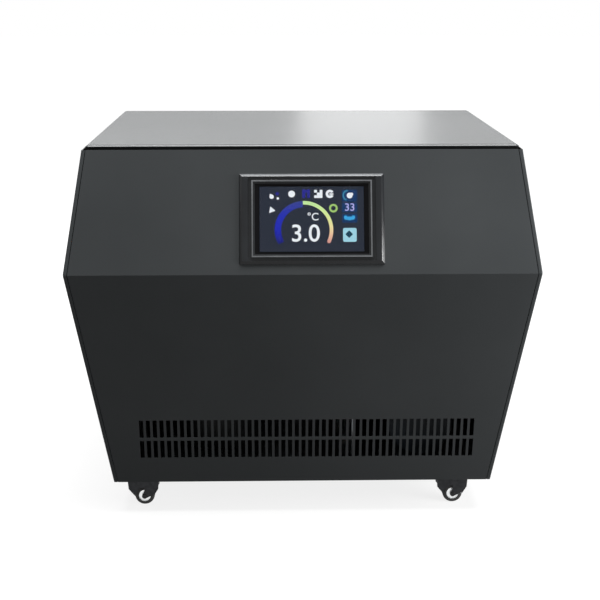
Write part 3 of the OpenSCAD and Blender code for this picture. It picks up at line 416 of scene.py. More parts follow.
def surface(name, dark, light, rough, spread, cloud, grain, bump, metallic=0.0, specular=0.5,
            stretch=(1, 1, 1)):
    """A worked finish: a soft drift between two near colours, and a fine grain that varies the
    roughness and lifts the surface. cloud, grain and bump are in millimetres."""
    material, tree, at = new_material(name)
    shaped = add(tree, "Mapping", {"Vector": at}, Scale=stretch).outputs[0]
    drift, fine = noise(tree, shaped, cloud, 3.0, 0.55), noise(tree, shaped, grain, 2.0, 0.6)
    # The noise lies mostly in the middle of its range, so that part is spread over both tones
    low, high = 0.3, 0.7
    ramp = add(tree, "ValToRGB", {"Fac": drift})
    dark_stop, light_stop = ramp.color_ramp.elements
    dark_stop.position, dark_stop.color = low, linear(dark)
    light_stop.position, light_stop.color = high, linear(light)
    blur = add(tree, "MapRange", {"Value": fine}, From_Min=low, From_Max=high,
               To_Min=max(0.02, rough - spread), To_Max=min(1.0, rough + spread))
    lift = add(tree, "Bump", {"Height": fine}, Strength=1.0, Distance=bump * MM)
    shader = add(tree, "BsdfPrincipled",
                 {"Base Color": ramp.outputs["Color"], "Roughness": blur.outputs[0],
                  "Normal": lift.outputs["Normal"]},
                 Metallic=metallic, IOR=1.5, Specular_IOR_Level=specular)
    add(tree, "OutputMaterial", {"Surface": shader.outputs[0]})
    return material


def backlight(tree, colour):
    """A display's own light in a colour that the tree has made, with no gloss of its own."""
    shader = add(tree, "BsdfPrincipled", {"Emission Color": colour},
                 Base_Color=(0.0, 0.0, 0.0, 1.0), Roughness=0.5, Emission_Strength=1.0,
                 Specular_IOR_Level=0.0)
    add(tree, "OutputMaterial", {"Surface": shader.outputs[0]})


def lit(name, colour):
    """A backlit area of the display: its own light with a fine pixel-row ripple."""
    material, tree, at = new_material(name)
    tint = add(tree, "Mix", {"Factor": noise(tree, at, 6, 1.0)}, data_type="RGBA")
    for socket, share in ((6, 0.94), (7, 1.04)):
        tint.inputs[socket].default_value = tuple(
            min(1, c * share) for c in linear(colour)[:3]) + (1,)
    backlight(tree, tint.outputs[2])
    return material


def gauge_arc(name, colours):
    """A backlit arc of the gauge that changes colour from its foot up to its top."""
    material, tree, at = new_material(name)
    xyz = add(tree, "SeparateXYZ", {"Vector": at})
    centre = DISPLAY @ Vector((0, 0, GAUGE_Z * MM))
    along = add(tree, "MapRange", {"Value": xyz.outputs["Z"]},
                From_Min=centre.z + GAUGE_FOOT * MM, From_Max=centre.z + GAUGE_HEAD * MM)
    ramp = add(tree, "ValToRGB", {"Fac": along.outputs[0]})
    stops = ramp.color_ramp.elements
    stops[0].color, stops[1].color = linear(colours[0]), linear(colours[-1])
    for i, colour in enumerate(colours[1:-1], 1):
        stops.new(i / (len(colours) - 1)).color = linear(colour)
    backlight(tree, ramp.outputs["Color"])
    return material


def clear_glass():
    """Anti-reflective float glass over the picture: clear, with a thin sharp reflection. The low
    IOR stands for the coating, which holds back most of the light that bare glass returns."""
    material, tree, at = new_material("float_glass_window")
    rough = add(tree, "MapRange", {"Value": noise(tree, at, 18)}, To_Min=0.0, To_Max=0.03)
    shader = add(tree, "BsdfPrincipled", {"Roughness": rough.outputs[0]},
                 Base_Color=linear("f4f7fa"), IOR=1.13, Transmission_Weight=1.0)
    add(tree, "OutputMaterial", {"Surface": shader.outputs[0]})
    return material


FINISHES = {}


def make_finishes(colours):
    """One material for each finish of the real machine, with what it gives the eye. The rows are
    slot, name, darker and lighter tone, roughness and its spread, then cloud, grain and bump in
    millimetres, and at the end what is unlike a plain non-metal."""
    coat_tones = colours.casing_dark, colours.casing_light
    metal = {"metallic": 1}
    for slot, name, *values, more in (
        # Polyester powder coat on sheet steel, semi-matt: fine orange-peel, soft broad highlights
        ("powder_coat", "powder_coat", *coat_tones, 0.3, 0.03, 180, 1.4, 0.008,
         {"specular": 0.08}),
        # The same coat pulled thin and glossy over the top's folded edge: a bright line
        ("folded_edge", "powder_coat_folded_edge", *coat_tones, 0.22, 0.03, 180, 1.4, 0.004,
         {"specular": 0.8}),
        # Zinc-plated sheet: pale, cloudy spangle
        ("zinc_sheet", "zinc_plate_sheet", "8d9194", "aeb2b4", 0.42, 0.1, 9, 2, 0.01, metal),
        # Black oxide on screw heads: oily dark sheen
        ("black_screws", "black_oxide_screw", "141517", "1f2123", 0.38, 0.08, 3, 0.5, 0.01,
         {"metallic": 0.6}),
        # Bright zinc on castor screws
        ("zinc_screws", "bright_zinc_screw", "a9acae", "c3c5c6", 0.3, 0.08, 3, 0.5, 0.01, metal),
        # Moulded ABS with a fine spark-eroded texture: satin, slightly grey
        ("bezel_plastic", "moulded_abs_bezel", "101113", "151719", 0.22, 0.04, 25, 0.8, 0.006,
         {"specular": 0.22}),
        # The raised ring's top and the bezel's upper outer slope, lighter grey than the plastic:
        # painted highlight where they catch the light
        ("bezel_ring", "polished_bezel_ring", "3a3c3e", "46484a", 0.24, 0.04, 20, 0.8, 0.004, {}),
        # Black print behind the cover glass: deep black, sharp reflection
        ("cover_glass", "black_printed_glass", "030304", "060608", 0.06, 0.01, 40, 3, 0.001,
         {"specular": 0.08}),
        # Fibreglass board under solder resist: glossy green with darker tracks
        ("circuit_board", "solder_resist_board", "11492c", "1d6b43", 0.3, 0.1, 3, 1, 0.04,
         {"stretch": (1, 0.25, 1)}),
        # Moulded PA66: black, satin, a little blotchy from the mould flow
        ("black_plastic", "moulded_polyamide", "191b1d", "24272a", 0.45, 0.07, 12, 0.7, 0.02, {}),
        # Polished switch plastic: glossier than its frame
        ("rocker_plastic", "polished_switch_plastic", "101112", "17181a", 0.22, 0.04, 10, 0.8,
         0.004, {}),
        # Black zinc plating on pressed steel: dark metal that still flashes on its edges
        ("castor_steel", "black_zinc_steel", "1c1d1f", "2b2c2e", 0.34, 0.08, 6, 0.7, 0.01,
         {"metallic": 0.75}),
        # Bare turned steel of the power inlet's contacts: fine turning marks
        ("axle_steel", "turned_steel", "8f9294", "b4b6b8", 0.28, 0.1, 2, 0.4, 0.01,
         {"metallic": 1, "stretch": (1, 6, 1)}),
        # Blackened rivet of a castor's axle: dark, with a small soft flash
        ("black_rivet", "blackened_rivet", "0c0c0d", "151617", 0.4, 0.08, 2, 0.4, 0.01,
         {"metallic": 0.5}),
        # Vulcanised tread: dull black, dusty
        ("wheel_rubber", "vulcanised_rubber_tread", "141414", "1f1f1e", 0.72, 0.08, 7, 0.8, 0.04,
         {}),
        # Polished aluminium wheel core: picks up the pale floor in front of it
        ("wheel_core", "polished_aluminium_core", "e6e8e9", "f2f3f3", 0.3, 0.06, 5, 0.6, 0.006,
         metal),
        # Dip-coated steel wire: smooth black skin
        ("guard_wire", "dip_coated_wire", "121314", "1b1c1e", 0.32, 0.05, 15, 1.2, 0.02, {}),
        # Rolled aluminium fin stock: fine lines across the rolling direction
        ("fin_aluminium", "rolled_aluminium_fins", "9a9ea1", "b9bcbf", 0.36, 0.12, 14, 0.9, 0.02,
         {"metallic": 1, "stretch": (1, 1, 5)}),
        # Drawn copper tube: warm, brown where the torch has been
        ("copper", "drawn_copper", "8a4a2b", "c07a50", 0.3, 0.12, 22, 1.2, 0.01, metal),
        # Closed-cell foam sleeve: matt charcoal with tiny pores
        ("pipe_insulation", "closed_cell_foam", "1a1b1c", "26282a", 0.9, 0.05, 9, 1.1, 0.2, {}),
        # Glass-filled fan plastic: dark grey, faint flow lines
        ("fan_plastic", "glass_filled_fan_plastic", "232527", "303336", 0.48, 0.08, 18, 0.9, 0.03,
         {}),
        # Stoved enamel on a motor housing: blue-black with orange peel, kept near-black as painted
        # shade for the dark inside behind the slots
        ("motor_enamel", "stoved_enamel_motor", "0e1317", "141a20", 0.5, 0.06, 30, 2, 0.03,
         {"specular": 0.2}),
        # Thick black enamel on the compressor's deep-drawn shell
        ("compressor_enamel", "black_enamel_shell", "0d0e0f", "151617", 0.45, 0.05, 35, 2.5, 0.04,
         {"specular": 0.2}),
        # Rubber strip in the joint under the top, near-black and matt: painted shade for the
        # shadow gap of the joint
        ("seam_foam", "foam_rubber_strip", "060606", "0a0a0a", 0.95, 0.04, 6, 1, 0.05,
         {"specular": 0.05}),
        # Nitrile rubber: feet and hoses, dull and slightly brown
        ("black_rubber", "nitrile_rubber", "161615", "201f1e", 0.68, 0.08, 12, 1, 0.05, {}),
        # Natural polypropylene shell: milky grey
        ("exchanger_plastic", "natural_polypropylene", "c4c6c4", "d9dbd9", 0.42, 0.06, 40, 1.5,
         0.02, {}),
        # Bent titanium tube: grey metal with a faint straw tone
        ("titanium", "bent_titanium", "7d7a76", "989590", 0.35, 0.1, 18, 1, 0.01, metal),
    ):
        FINISHES[slot] = surface(name, *values, **more)
    # Backlit liquid-crystal ground of the display: a dark slate blue
    FINISHES["screen"] = lit("backlit_screen_ground", colours.screen_ground)
    # Its lit symbols: even colour that glows a little brighter than the ground
    for name, colour in {"screen_white": "f4f6f8", "icon_blue": "2b2c8e",
                         "icon_green": "a8cf72", "icon_teal": "3d86a6", "icon_violet": "b9b4ea",
                         "icon_cyan": "3fa9e0", "tile_cyan": "a4d8e6", "screen_band": "1a3a66",
                         "icon_dark": "1c4458"}.items():
        FINISHES[name] = lit("backlit_" + name, colour)
    for name, tones in {"gauge_blue": ("1b2170", "2029b4", "2530b0", "39438c"),
                        "gauge_warm": ("d9938c", "f0c3a0", "f2e3a2", "e3eb9a", "d4ee9c",
                                       "c8eca2")}.items():
        FINISHES[name] = gauge_arc("backlit_" + name, tones)
    FINISHES["clear_window"] = clear_glass()


# ---------------------------------------------------------------- casing

def side_planes(side, inset=0.0):
    """Point and outward normal of a side's lower and upper plane, moved inward by inset."""
    flip = Vector((side, 1, 1))
    return [((SIDE_FOLD - normal * inset) * flip, normal * flip) for normal in (SIDE_LOW, SIDE_UP)]


def casing_block(name, *more):
    """The casing's outline: a block cut by the planes of its folded sheets, and by more planes."""
    obj = box(name, (-FOLD_X, FOLD_Y, BASE_Z), (FOLD_X, REAR_Y, TOP_Z))
    open_edit(obj)
    for point, normal in ((FRONT_FOLD, FRONT_LOW), (FRONT_FOLD, FRONT_UP), *side_planes(-1),
                          *side_planes(1), *more):
        pick_all()
        bpy.ops.mesh.bisect(plane_co=point, plane_no=normal, use_fill=True, clear_outer=True,
                            threshold=CUT_TOL)
    pick_all()
    bpy.ops.mesh.remove_doubles(threshold=MERGE_TOL)
    bpy.ops.mesh.dissolve_limited(angle_limit=radians(0.1))
    bpy.ops.mesh.normals_make_consistent(inside=False)
    close_edit()
    return obj


def at_front(face):
    """Whether a face is one of the casing's two front faces."""
    return face.normal.y < -0.5


def bent_more(edge, angle):
    """Whether two faces meet at an edge by more than angle, in radians."""
    return len(edge.link_faces) == 2 and edge.calc_face_angle(0) > angle


def keep_faces(obj, test):
    """Deletes every face that fails test."""
    edit(obj, "FACE", lambda f: not test(f), bpy.ops.mesh.delete, type="FACE")


def trim(obj, point, normal):
    """Cuts away what lies beyond a plane."""
    edit(obj, "FACE", None, bpy.ops.mesh.bisect, plane_co=point, plane_no=normal,
         clear_outer=True, threshold=CUT_TOL)


def bend(obj, radius, test, segments=4):
    """Rounds the bends of a sheet before it gets its thickness."""
    edit(obj, "EDGE", test, bpy.ops.mesh.bevel, offset=radius, offset_type="WIDTH",
         segments=segments, profile=0.5, affect="EDGES")


def thicken(obj, settings):
    """Gives a bent sheet its thickness and its softened cut edges."""
    walled(obj, SHEET)
    return level(rounded(obj, settings.edge_round * MM, 2, 50))


def length(name, description, default, low, high):
    """A length in millimetres that a user would change."""
    return FloatProperty(name=name, description=description + ", millimetres", default=default,
                         min=low, max=high)


class ChillerCasingSettings(bpy.types.PropertyGroup):
    """Sizes of the folded sheets."""
    bend_round: length("Bend", "Width of a folded bend", 2.6, 0.5, 6)
    edge_round: length("Edge", "Rounding of the cut edges", 0.22, 0.05, 0.5)
    nose: length("Nose", "Height of the top's rolled edge", 2.2, 2, 5)
    shoulder: length("Shoulder", "Width of the slope along the top's sides", 6.3, 3, 9)
    gasket_back: length("Gasket", "How far the gasket lies back", 1.3, 1, 4)
    slot_width: length("Slot", "Width of an intake slot", 5.2, 3, 5.6)
    slot_length: length("Slot length", "Length of an intake slot", 24.5, 15, 25)


class ChillerDisplaySettings(bpy.types.PropertyGroup):
    """What the display shows."""
    reading: StringProperty(name="Reading", description="Temperature in the gauge", default="3.0")
    gauge_radius: length("Gauge", "Radius of the gauge's arc", 32.2, 20, 34)
    digit_height: length("Digits", "Height of the digits", 20.5, 10, 26)


class ChillerFinishSettings(bpy.types.PropertyGroup):
    """Colours of the main finishes, as sRGB hex."""
    casing_dark: StringProperty(name="Casing dark", description="Powder coat, darker tone",
                                default="292b2c")
    casing_light: StringProperty(name="Casing light", description="Powder coat, lighter tone",
                                 default="2e3031")
    screen_ground: StringProperty(name="Screen", description="Ground of the display",
                                  default="2b303c")
    floor: FloatVectorProperty(name="Floor", description="Colour of the floor", subtype="COLOR",
                               size=4, default=linear("5a5a5a"), min=0, max=1)


class CHILLER_OT_finishes(bpy.types.Operator):
    """Make the materials and give every CAD node the finish of its slot"""
    bl_idname = "chiller.finishes"
    bl_label = "Finishes"

    def execute(self, context):
        make_finishes(context.scene.chiller_finish)
        for part in frame["record"]["subparts"]:
            # The base pan's rim shows in the seam under the panels, coated as they are
            look = "powder_coat" if part["node"] == "base_pan" else part["material_slot"]
            coat(frame["nodes"][part["node"]], FINISHES[look])
        return {"FINISHED"}


class CHILLER_OT_front_panel(bpy.types.Operator):
    """Fold the front panel and punch its slots and display opening"""
    bl_idname = "chiller.front_panel"
    bl_label = "Front panel"

    def execute(self, context):
        settings = context.scene.chiller_casing
        obj = casing_block("front_panel_folded")
        keep_faces(obj, at_front)
        for point, normal in side_planes(-1, STRIP + SEAM) + side_planes(1, STRIP + SEAM):
            trim(obj, point, normal)
        trim(obj, (0, 0, PANEL_TOP), (0, 0, 1))
        open_edit(obj, "EDGE")
        pick(obj, "EDGE", lambda e: all(v.co.z > PANEL_TOP - NEAR for v in e.verts))
        bpy.ops.mesh.extrude_edges_move(TRANSFORM_OT_translate={"value": (0, FLANGE, 0)})
        pick_all()
        bpy.ops.mesh.normals_make_consistent(inside=False)
        # An open sheet has no inside, so its faces are turned to the front where they lie wrong
        if sum(f.normal.y for f in bmesh.from_edit_mesh(obj.data).faces) > 0:
            bpy.ops.mesh.flip_normals()
        close_edit()
        bend(obj, settings.bend_round * MM,
             lambda e: all(abs(v.co.z - FOLD_Z) < NEAR for v in e.verts))
        walled(obj, SHEET)
        rounded(obj, settings.edge_round * MM, 2, 50)
        self.punch(obj, settings)
        finished(level(obj), "powder_coat", "casing", "front_panel")
        return {"FINISHED"}

    def punch(self, obj, settings):
        """Square-ended cutters in two rows, and the display's opening."""
        x, z = settings.slot_width * MM / 2, settings.slot_length * MM / 2
        cutter = slab("slot_cutter", x, z, CUT_FRONT, CUT_BACK)
        edit(cutter, "EDGE", lambda e: run_back(e) > MM, bpy.ops.mesh.bevel, offset=SLOT_CORNER,
             segments=2, affect="EDGES")
        for count, step in ((SLOT_COUNT, (SLOT_PITCH, 0, 0)), (2, (0, 0, ROW_PITCH))):
            modify(cutter, "ARRAY", count=count, use_relative_offset=False,
                   use_constant_offset=True, constant_offset_displace=step)
        place(cutter, LOWER_FACE @ shift(SLOT_SHIFT - (SLOT_COUNT - 1) / 2 * SLOT_PITCH, 0,
                                         SLOT_UP - FACE_LOW - ROW_PITCH / 2))
        opening = slab("display_cutter", OPENING_X, OPENING_Z, CUT_FRONT, CUT_BACK)
        cutter = joined([cutter, place(opening, DISPLAY)], "front_cutters")
        modify(obj, "BOOLEAN", operation="DIFFERENCE", object=cutter, solver="EXACT")
        bpy.data.objects.remove(cutter)


class CHILLER_OT_side_panels(bpy.types.Operator):
    """Fold the two side panels, each with the strip that turns around the front corner"""
    bl_idname = "chiller.side_panels"
    bl_label = "Side panels"

    def execute(self, context):
        settings = context.scene.chiller_casing
        for side, name in ((-1, "left_side_panel"), (1, "right_side_panel")):
            obj = casing_block(name + "_folded")
            keep_faces(obj, lambda f: f.normal.x * side > 0.5 or at_front(f))
            trim(obj, (0, 0, PANEL_TOP), (0, 0, 1))
            open_edit(obj)
            for low, (point, normal) in zip((True, False), side_planes(side, STRIP)):
                pick(obj, "FACE", lambda f: at_front(f) and (f.normal.z < 0) == low)
                bpy.ops.mesh.bisect(plane_co=point, plane_no=normal, threshold=CUT_TOL)
            pick(obj, "FACE", lambda f: at_front(f) and
                 f.calc_center_median().x * side < TOE_X - 2 * STRIP)
            bpy.ops.mesh.delete(type="FACE")
            close_edit()
            bend(obj, settings.bend_round * MM, lambda e: bent_more(e, 0.1))
            finished(thicken(obj, settings), "powder_coat", "casing", name)
        return {"FINISHED"}


class CHILLER_OT_top_cover(bpy.types.Operator):
    """Form the top cover with its sloped shoulders and lip, and lay the gasket under it"""
    bl_idname = "chiller.top_cover"
    bl_label = "Top cover"

    def execute(self, context):
        settings = context.scene.chiller_casing
        nose, back, shoulder = (v * MM for v in (settings.nose, settings.gasket_back,
                                                 settings.shoulder))
        # The slope along both sides of the top is as deep as the lip
        slopes = [((side * (TOP_X - shoulder), 0, TOP_Z), (side * LIP, 0, shoulder))
                  for side in (-1, 1)]
        obj = casing_block("top_cover_formed", *slopes)
        trim(obj, (0, 0, TOP_Z - nose), (0, 0, -1))
        keep_faces(obj, lambda f: f.normal.z > -0.9)
        bend(obj, settings.bend_round * MM, lambda e: bent_more(e, 0.3), 1)
        thicken(obj, settings)
        # The rolled front edge: long faces that slope to the front, but not the shoulders
        painted(obj, "powder_coat", "folded_edge", lambda f: 0.35 < f.normal.z < 0.95 and
                abs(f.normal.x) < 0.3 and f.calc_area() > 100 * MM * MM)
        finished(obj, "powder_coat", "casing", "top_cover")
        # The gasket under the nose lies back from the sheets, and its near-black tone is painted
        # shade, so the joint reads as a dark line
        seal = casing_block("top_cover_gasket", *slopes)
        trim(seal, (0, 0, TOP_Z - LIP), (0, 0, -1))
        trim(seal, (0, 0, TOP_Z - nose + SHEET / 2), (0, 0, 1))
        keep_faces(seal, lambda f: abs(f.normal.z) < 0.9)
        edit(seal, "FACE", None, bpy.ops.transform.resize,
             value=(1 - back / TOP_X, 1 - 2 * back / (REAR_Y - TOP_Y), 1),
             center_override=(0, (REAR_Y + TOP_Y) / 2, TOP_Z))
        walled(seal, GASKET_T)
        rounded(seal, PRESSED, 2, 50)
        # The strip's near-black finish is painted shade for the joint's shadow
        finished(seal, "black_rubber", "casing", look="seam_foam")
        return {"FINISHED"}


class CHILLER_OT_rear_panel(bpy.types.Operator):
    """Soften the punched rear panel and set the casing screws"""
    bl_idname = "chiller.rear_panel"
    bl_label = "Rear panel"

    def execute(self, context):
        softened("rear_panel", "rear_panel_punched", "powder_coat", "casing", 0.2 * MM)
        softened("casing_screws", "casing_screws_set", "black_screws", "casing", 0.35 * MM, 3)
        return {"FINISHED"}


# ---------------------------------------------------------------- display

# In millimetres from the middle of the display: the gauge's centre, and how far its colours run
# below and above that
GAUGE_X, GAUGE_Z, GAUGE_FOOT, GAUGE_HEAD = -9.2, -12.8, -15, 31
# The foot of the gauge's warm arc, as the cosine and sine of its angle
TIP_X, TIP_Z = 0.906, -0.423
# The bezel inside its flat land, from the outside in: (inset, rise) in millimetres of the groove's
# wall and floor, the ring's wall, top and wall, and the inner floor and its edge
BEZEL_STEPS = ((0.15, -2.4), (3.85, 0), (0.25, 2.8), (1.7, 0), (0.25, -2.0), (1.85, 0),
               (0.15, -2.0))


class CHILLER_OT_display(bpy.types.Operator):
    """Mould the display's bezel with its slope, groove and raised ring, and glaze it"""
    bl_idname = "chiller.display"
    bl_label = "Display"

    def execute(self, context):
        self.bezel()
        self.glass()
        return {"FINISHED"}

    def step_in(self, *steps):
        for thickness, rise in steps:
            bpy.ops.mesh.inset(thickness=thickness * MM, depth=rise * MM, use_even_offset=True)

    def bezel(self):
        """A slope, a flat land that is wider at the sides, then the steps, and the sleeve."""
        obj = slab("display_bezel_moulded", BEZEL_W / 2, BEZEL_H / 2, BEZEL_SLOPE - BEZEL_PROUD, 0)
        open_edit(obj)
        pick(obj, "FACE", lambda f: f.normal.y < -0.9)
        slope = BEZEL_SLOPE / MM
        tall, wide = (BEZEL_H - WINDOW_H) / 2 / MM, (BEZEL_W - WINDOW_W) / 2 / MM
        land = tall - slope - sum(inset for inset, _ in BEZEL_STEPS)
        self.step_in((slope, slope), (land, 0))
        across = BEZEL_W - 2 * (slope + land) * MM
        bpy.ops.transform.resize(value=(1 - 2 * (wide - tall) * MM / across, 1, 1),
                                 center_override=(0, 0, 0))
        self.step_in(*BEZEL_STEPS)
        bpy.ops.mesh.delete(type="FACE")
        pick(obj, "FACE", lambda f: f.normal.y > 0.9)
        bpy.ops.mesh.delete(type="FACE")
        pick(obj, "EDGE", lambda e: len(e.link_faces) == 1)
        bpy.ops.mesh.bridge_edge_loops()
        # Only the corners outside the land are rounded
        edge_x, edge_z = BEZEL_W / 2 - BEZEL_SLOPE + NEAR, BEZEL_H / 2 - BEZEL_SLOPE + NEAR
        pick(obj, "EDGE", lambda e: abs(middle(e).x) > edge_x and abs(middle(e).z) > edge_z and
             run_back(e) > 2 * NEAR)
        bpy.ops.mesh.bevel(offset=0.9 * MM, segments=3, affect="EDGES")
        close_edit()
        outward(obj)
        # The ring's top and the upper outer slope are painted a lighter grey: painted highlights
        # where they catch the light
        ring_y = -BEZEL_PROUD - sum(rise for _, rise in BEZEL_STEPS[:3]) * MM
        painted(obj, "bezel_plastic", "bezel_ring",
                lambda f: f.normal.y < -0.9 and abs(f.calc_center_median().y - ring_y) < NEAR,
                lambda f: f.normal.z > 0.5 and f.calc_center_median().z > edge_z)
        rounded(obj, 0.14 * MM, 2, 40)
        sleeve = slab("sleeve", OPENING_X - SLEEVE_GAP, OPENING_Z - SLEEVE_GAP, -SLEEVE_GAP,
                      SLEEVE_DEEP)
        keep_faces(sleeve, lambda f: abs(f.normal.y) < 0.5)
        walled(sleeve, SLEEVE_T)
        coat(rounded(sleeve, 0.2 * MM), FINISHES["bezel_plastic"])
        obj = place(joined([obj, sleeve], obj.name), DISPLAY)
        finished(obj, "bezel_plastic", "casing", "display_bezel")

    def glass(self):
        """The cover glass as one pane: a black-printed border around a clear window."""
        pane = slab("display_glass_pane", PANE_X, PANE_Z, GLASS_Y, GLASS_Y + GLASS_T - GLASS_AIR)
        open_edit(pane)
        pick(pane, "FACE", lambda f: abs(f.normal.y) > 0.9)
        border = PANE_Z - SCREEN_H / 2
        bpy.ops.mesh.inset(thickness=border, use_even_offset=True)
        bpy.ops.transform.resize(value=(SCREEN_W / 2 / (PANE_X - border), 1, 1),
                                 center_override=(0, 0, 0))
        close_edit()
        painted(pane, "cover_glass", "clear_window", lambda f: abs(f.normal.y) > 0.9 and
                all(abs(v.co.z) < SCREEN_H / 2 + NEAR for v in f.verts))
        place(rounded(pane, 0.12 * MM, 1, 60), DISPLAY)
        finished(pane, "cover_glass", "casing", "display_glass")


class CHILLER_OT_picture(bpy.types.Operator):
    """Draw the gauge, the reading and the generic symbols of the display's picture"""
    bl_idname = "chiller.picture"
    bl_label = "Picture"

    def execute(self, context):
        settings = context.scene.chiller_display
        front = GLASS_Y + GLASS_T
        ground = slab("display_screen_panel", SCREEN_W / 2, SCREEN_H / 2, front, front + SCREEN_T)
        place(rounded(ground, 0.2 * MM, 1), DISPLAY)
        finished(ground, "screen", "casing", "display_screen")
        # How far each group lies before the ground, millimetres: bands behind, a mark before
        lifts = {"screen_band": 0.06, "icon_dark": 0.22}
        for name, parts in self.groups(settings).items():
            obj = joined(parts, "display_" + name)
            modify(obj, "SOLIDIFY", thickness=0.05 * MM, offset=-1)
            outward(obj)
            place(obj, DISPLAY @ shift(0, front - lifts.get(name, 0.14) * MM, 0))
            finished(obj, "screen", "casing", look=name)
        return {"FINISHED"}

    def groups(self, settings):
        """The shapes of the picture by their finish. Each starts with the x and z of its middle
        in millimetres from the middle of the display."""
        arc, arrow, dot, tile, words = self.arc, self.arrow, self.dot, self.tile, self.words
        x, z, r = GAUGE_X, GAUGE_Z, settings.gauge_radius
        return {
            "gauge_blue": [arc(x, z, r - 1.6, 7.4, 92, 210)],
            "gauge_warm": [arc(x, z, r, 4.2, -25, 92), dot(x + 1, z + r, 2.1),
                           dot(x + r * TIP_X, z + r * TIP_Z, 2.1)],
            "screen_white": [
                words(-7.4, -26.2, settings.reading, settings.digit_height),
                words(1.4, -1.4, "°C", 9.0), dot(-23.4, 29.8, 4.0), dot(-46.8, 26.6, 2.6),
                dot(-48.0, 28.8, 1.2), dot(-39.6, 24.6, 1.5), arc(21.4, 29.8, 3.4, 3.0, 30, 330),
                tile(23.2, 29.6, 5, 1.6), arrow(-46.9, 10.8, 4.6), dot(44.6, 27.8, 3.4),
                tile(47.0, 29.4, 3.4, 3.4, 1.2, 45),
                # Seven of nine squares
                *(tile(7.9 + dx, 29.8 + dz, 3.3, 3.3, 0.6) for dx in (-3.2, 0, 3.2)
                  for dz in (-3.2, 0, 3.2) if (dx, dz) not in ((0, 3.2), (-3.2, 0)))],
            "icon_blue": [tile(-9.2, 30.2, 3.6, 10.4, 1), tile(-3.6, 30.2, 3.2, 10.4, 1),
                          tile(-6.4, 33, 3.2, 3, 0.6), dot(-40.2, 30.2, 2.0)],
            "icon_green": [arc(25.4, 12.8, 3.9, 2.3, 0, 360)],
            "icon_teal": [arc(42.9, 28.0, 5.8, 1.8, 95, 250)],
            "icon_violet": [words(44.6, 9.8, "33", 9.0)],
            "icon_cyan": [tile(44.2, 0.8, 11.4, 3.2), dot(39.8, 2.0, 2.2), dot(48.6, 2.0, 2.2),
                          dot(44.2, 0.6, 2.4)],
            "tile_cyan": [tile(44.4, -18.8, 16, 16.4, 2)],
            "icon_dark": [tile(43.6, -18.0, 6.4, 6.4, 0.6, 45)],
            "screen_band": [tile(44.4, 27.6, 18, 14, 1.5), tile(44.4, 13.6, 18, 11.5, 1.5),
                            tile(44.4, 0.9, 18, 10.4, 1.5)]}

    def stand(self, obj, x, z, angle=0):
        """Stands up a shape that was drawn on the ground plane, at x and z of the display."""
        return place(obj, turn(90, "X") @ shift(x * MM, z * MM, 0) @ turn(angle, "Z"))

    def arc(self, x, z, radius, width, start, end):
        """A band of a ring: one radial edge spun about the gauge's centre."""
        bpy.ops.mesh.primitive_plane_add(size=1)
        obj = added("arc")
        edit(obj, "VERT", lambda v: v.co.y > 0, bpy.ops.mesh.delete, type="VERT")
        edit(obj, "VERT", None, bpy.ops.transform.resize, value=(width * MM, 0, 1),
             center_override=(0, 0, 0))
        place(obj, turn(start, "Z") @ shift(radius * MM, 0, 0))
        edit(obj, "VERT", None, bpy.ops.mesh.spin, steps=max(6, int((end - start) / 5)),
             angle=radians(end - start), center=(0, 0, 0), axis=(0, 0, -1))
        edit(obj, "VERT", None, bpy.ops.mesh.remove_doubles, threshold=MERGE_TOL)
        return self.stand(obj, x, z)

    def dot(self, x, z, radius):
        """A round spot."""
        bpy.ops.mesh.primitive_circle_add(vertices=24, radius=radius * MM, fill_type="NGON")
        return self.stand(added("dot"), x, z)

    def tile(self, x, z, width, height, corner=0.5, angle=0):
        """A rectangle with round corners."""
        bpy.ops.mesh.primitive_plane_add(size=1)
        obj = added("tile")
        obj.scale = (width * MM, height * MM, 1)
        apply_place()
        edit(obj, "VERT", None, bpy.ops.mesh.bevel, offset=corner * MM, segments=3,
             affect="VERTICES")
        return self.stand(obj, x, z, angle)

    def arrow(self, x, z, radius):
        """A triangle that points up to the left."""
        bpy.ops.mesh.primitive_circle_add(vertices=3, radius=radius * MM, fill_type="NGON")
        return self.stand(added("arrow"), x, z, 140)

    def words(self, x, z, text, height):
        """Text centred on x with its foot at z, as a mesh of the wanted height."""
        font_share, stroke = 0.72, 0.012
        bpy.ops.object.text_add()
        obj = bpy.context.active_object
        obj.data.body = text
        obj.data.align_x = "CENTER"
        obj.data.size = height * MM / font_share
        obj.data.offset = stroke * height * MM
        only(obj)
        bpy.ops.object.convert(target="MESH")
        return self.stand(added("words"), x, z)


# ---------------------------------------------------------------- castors

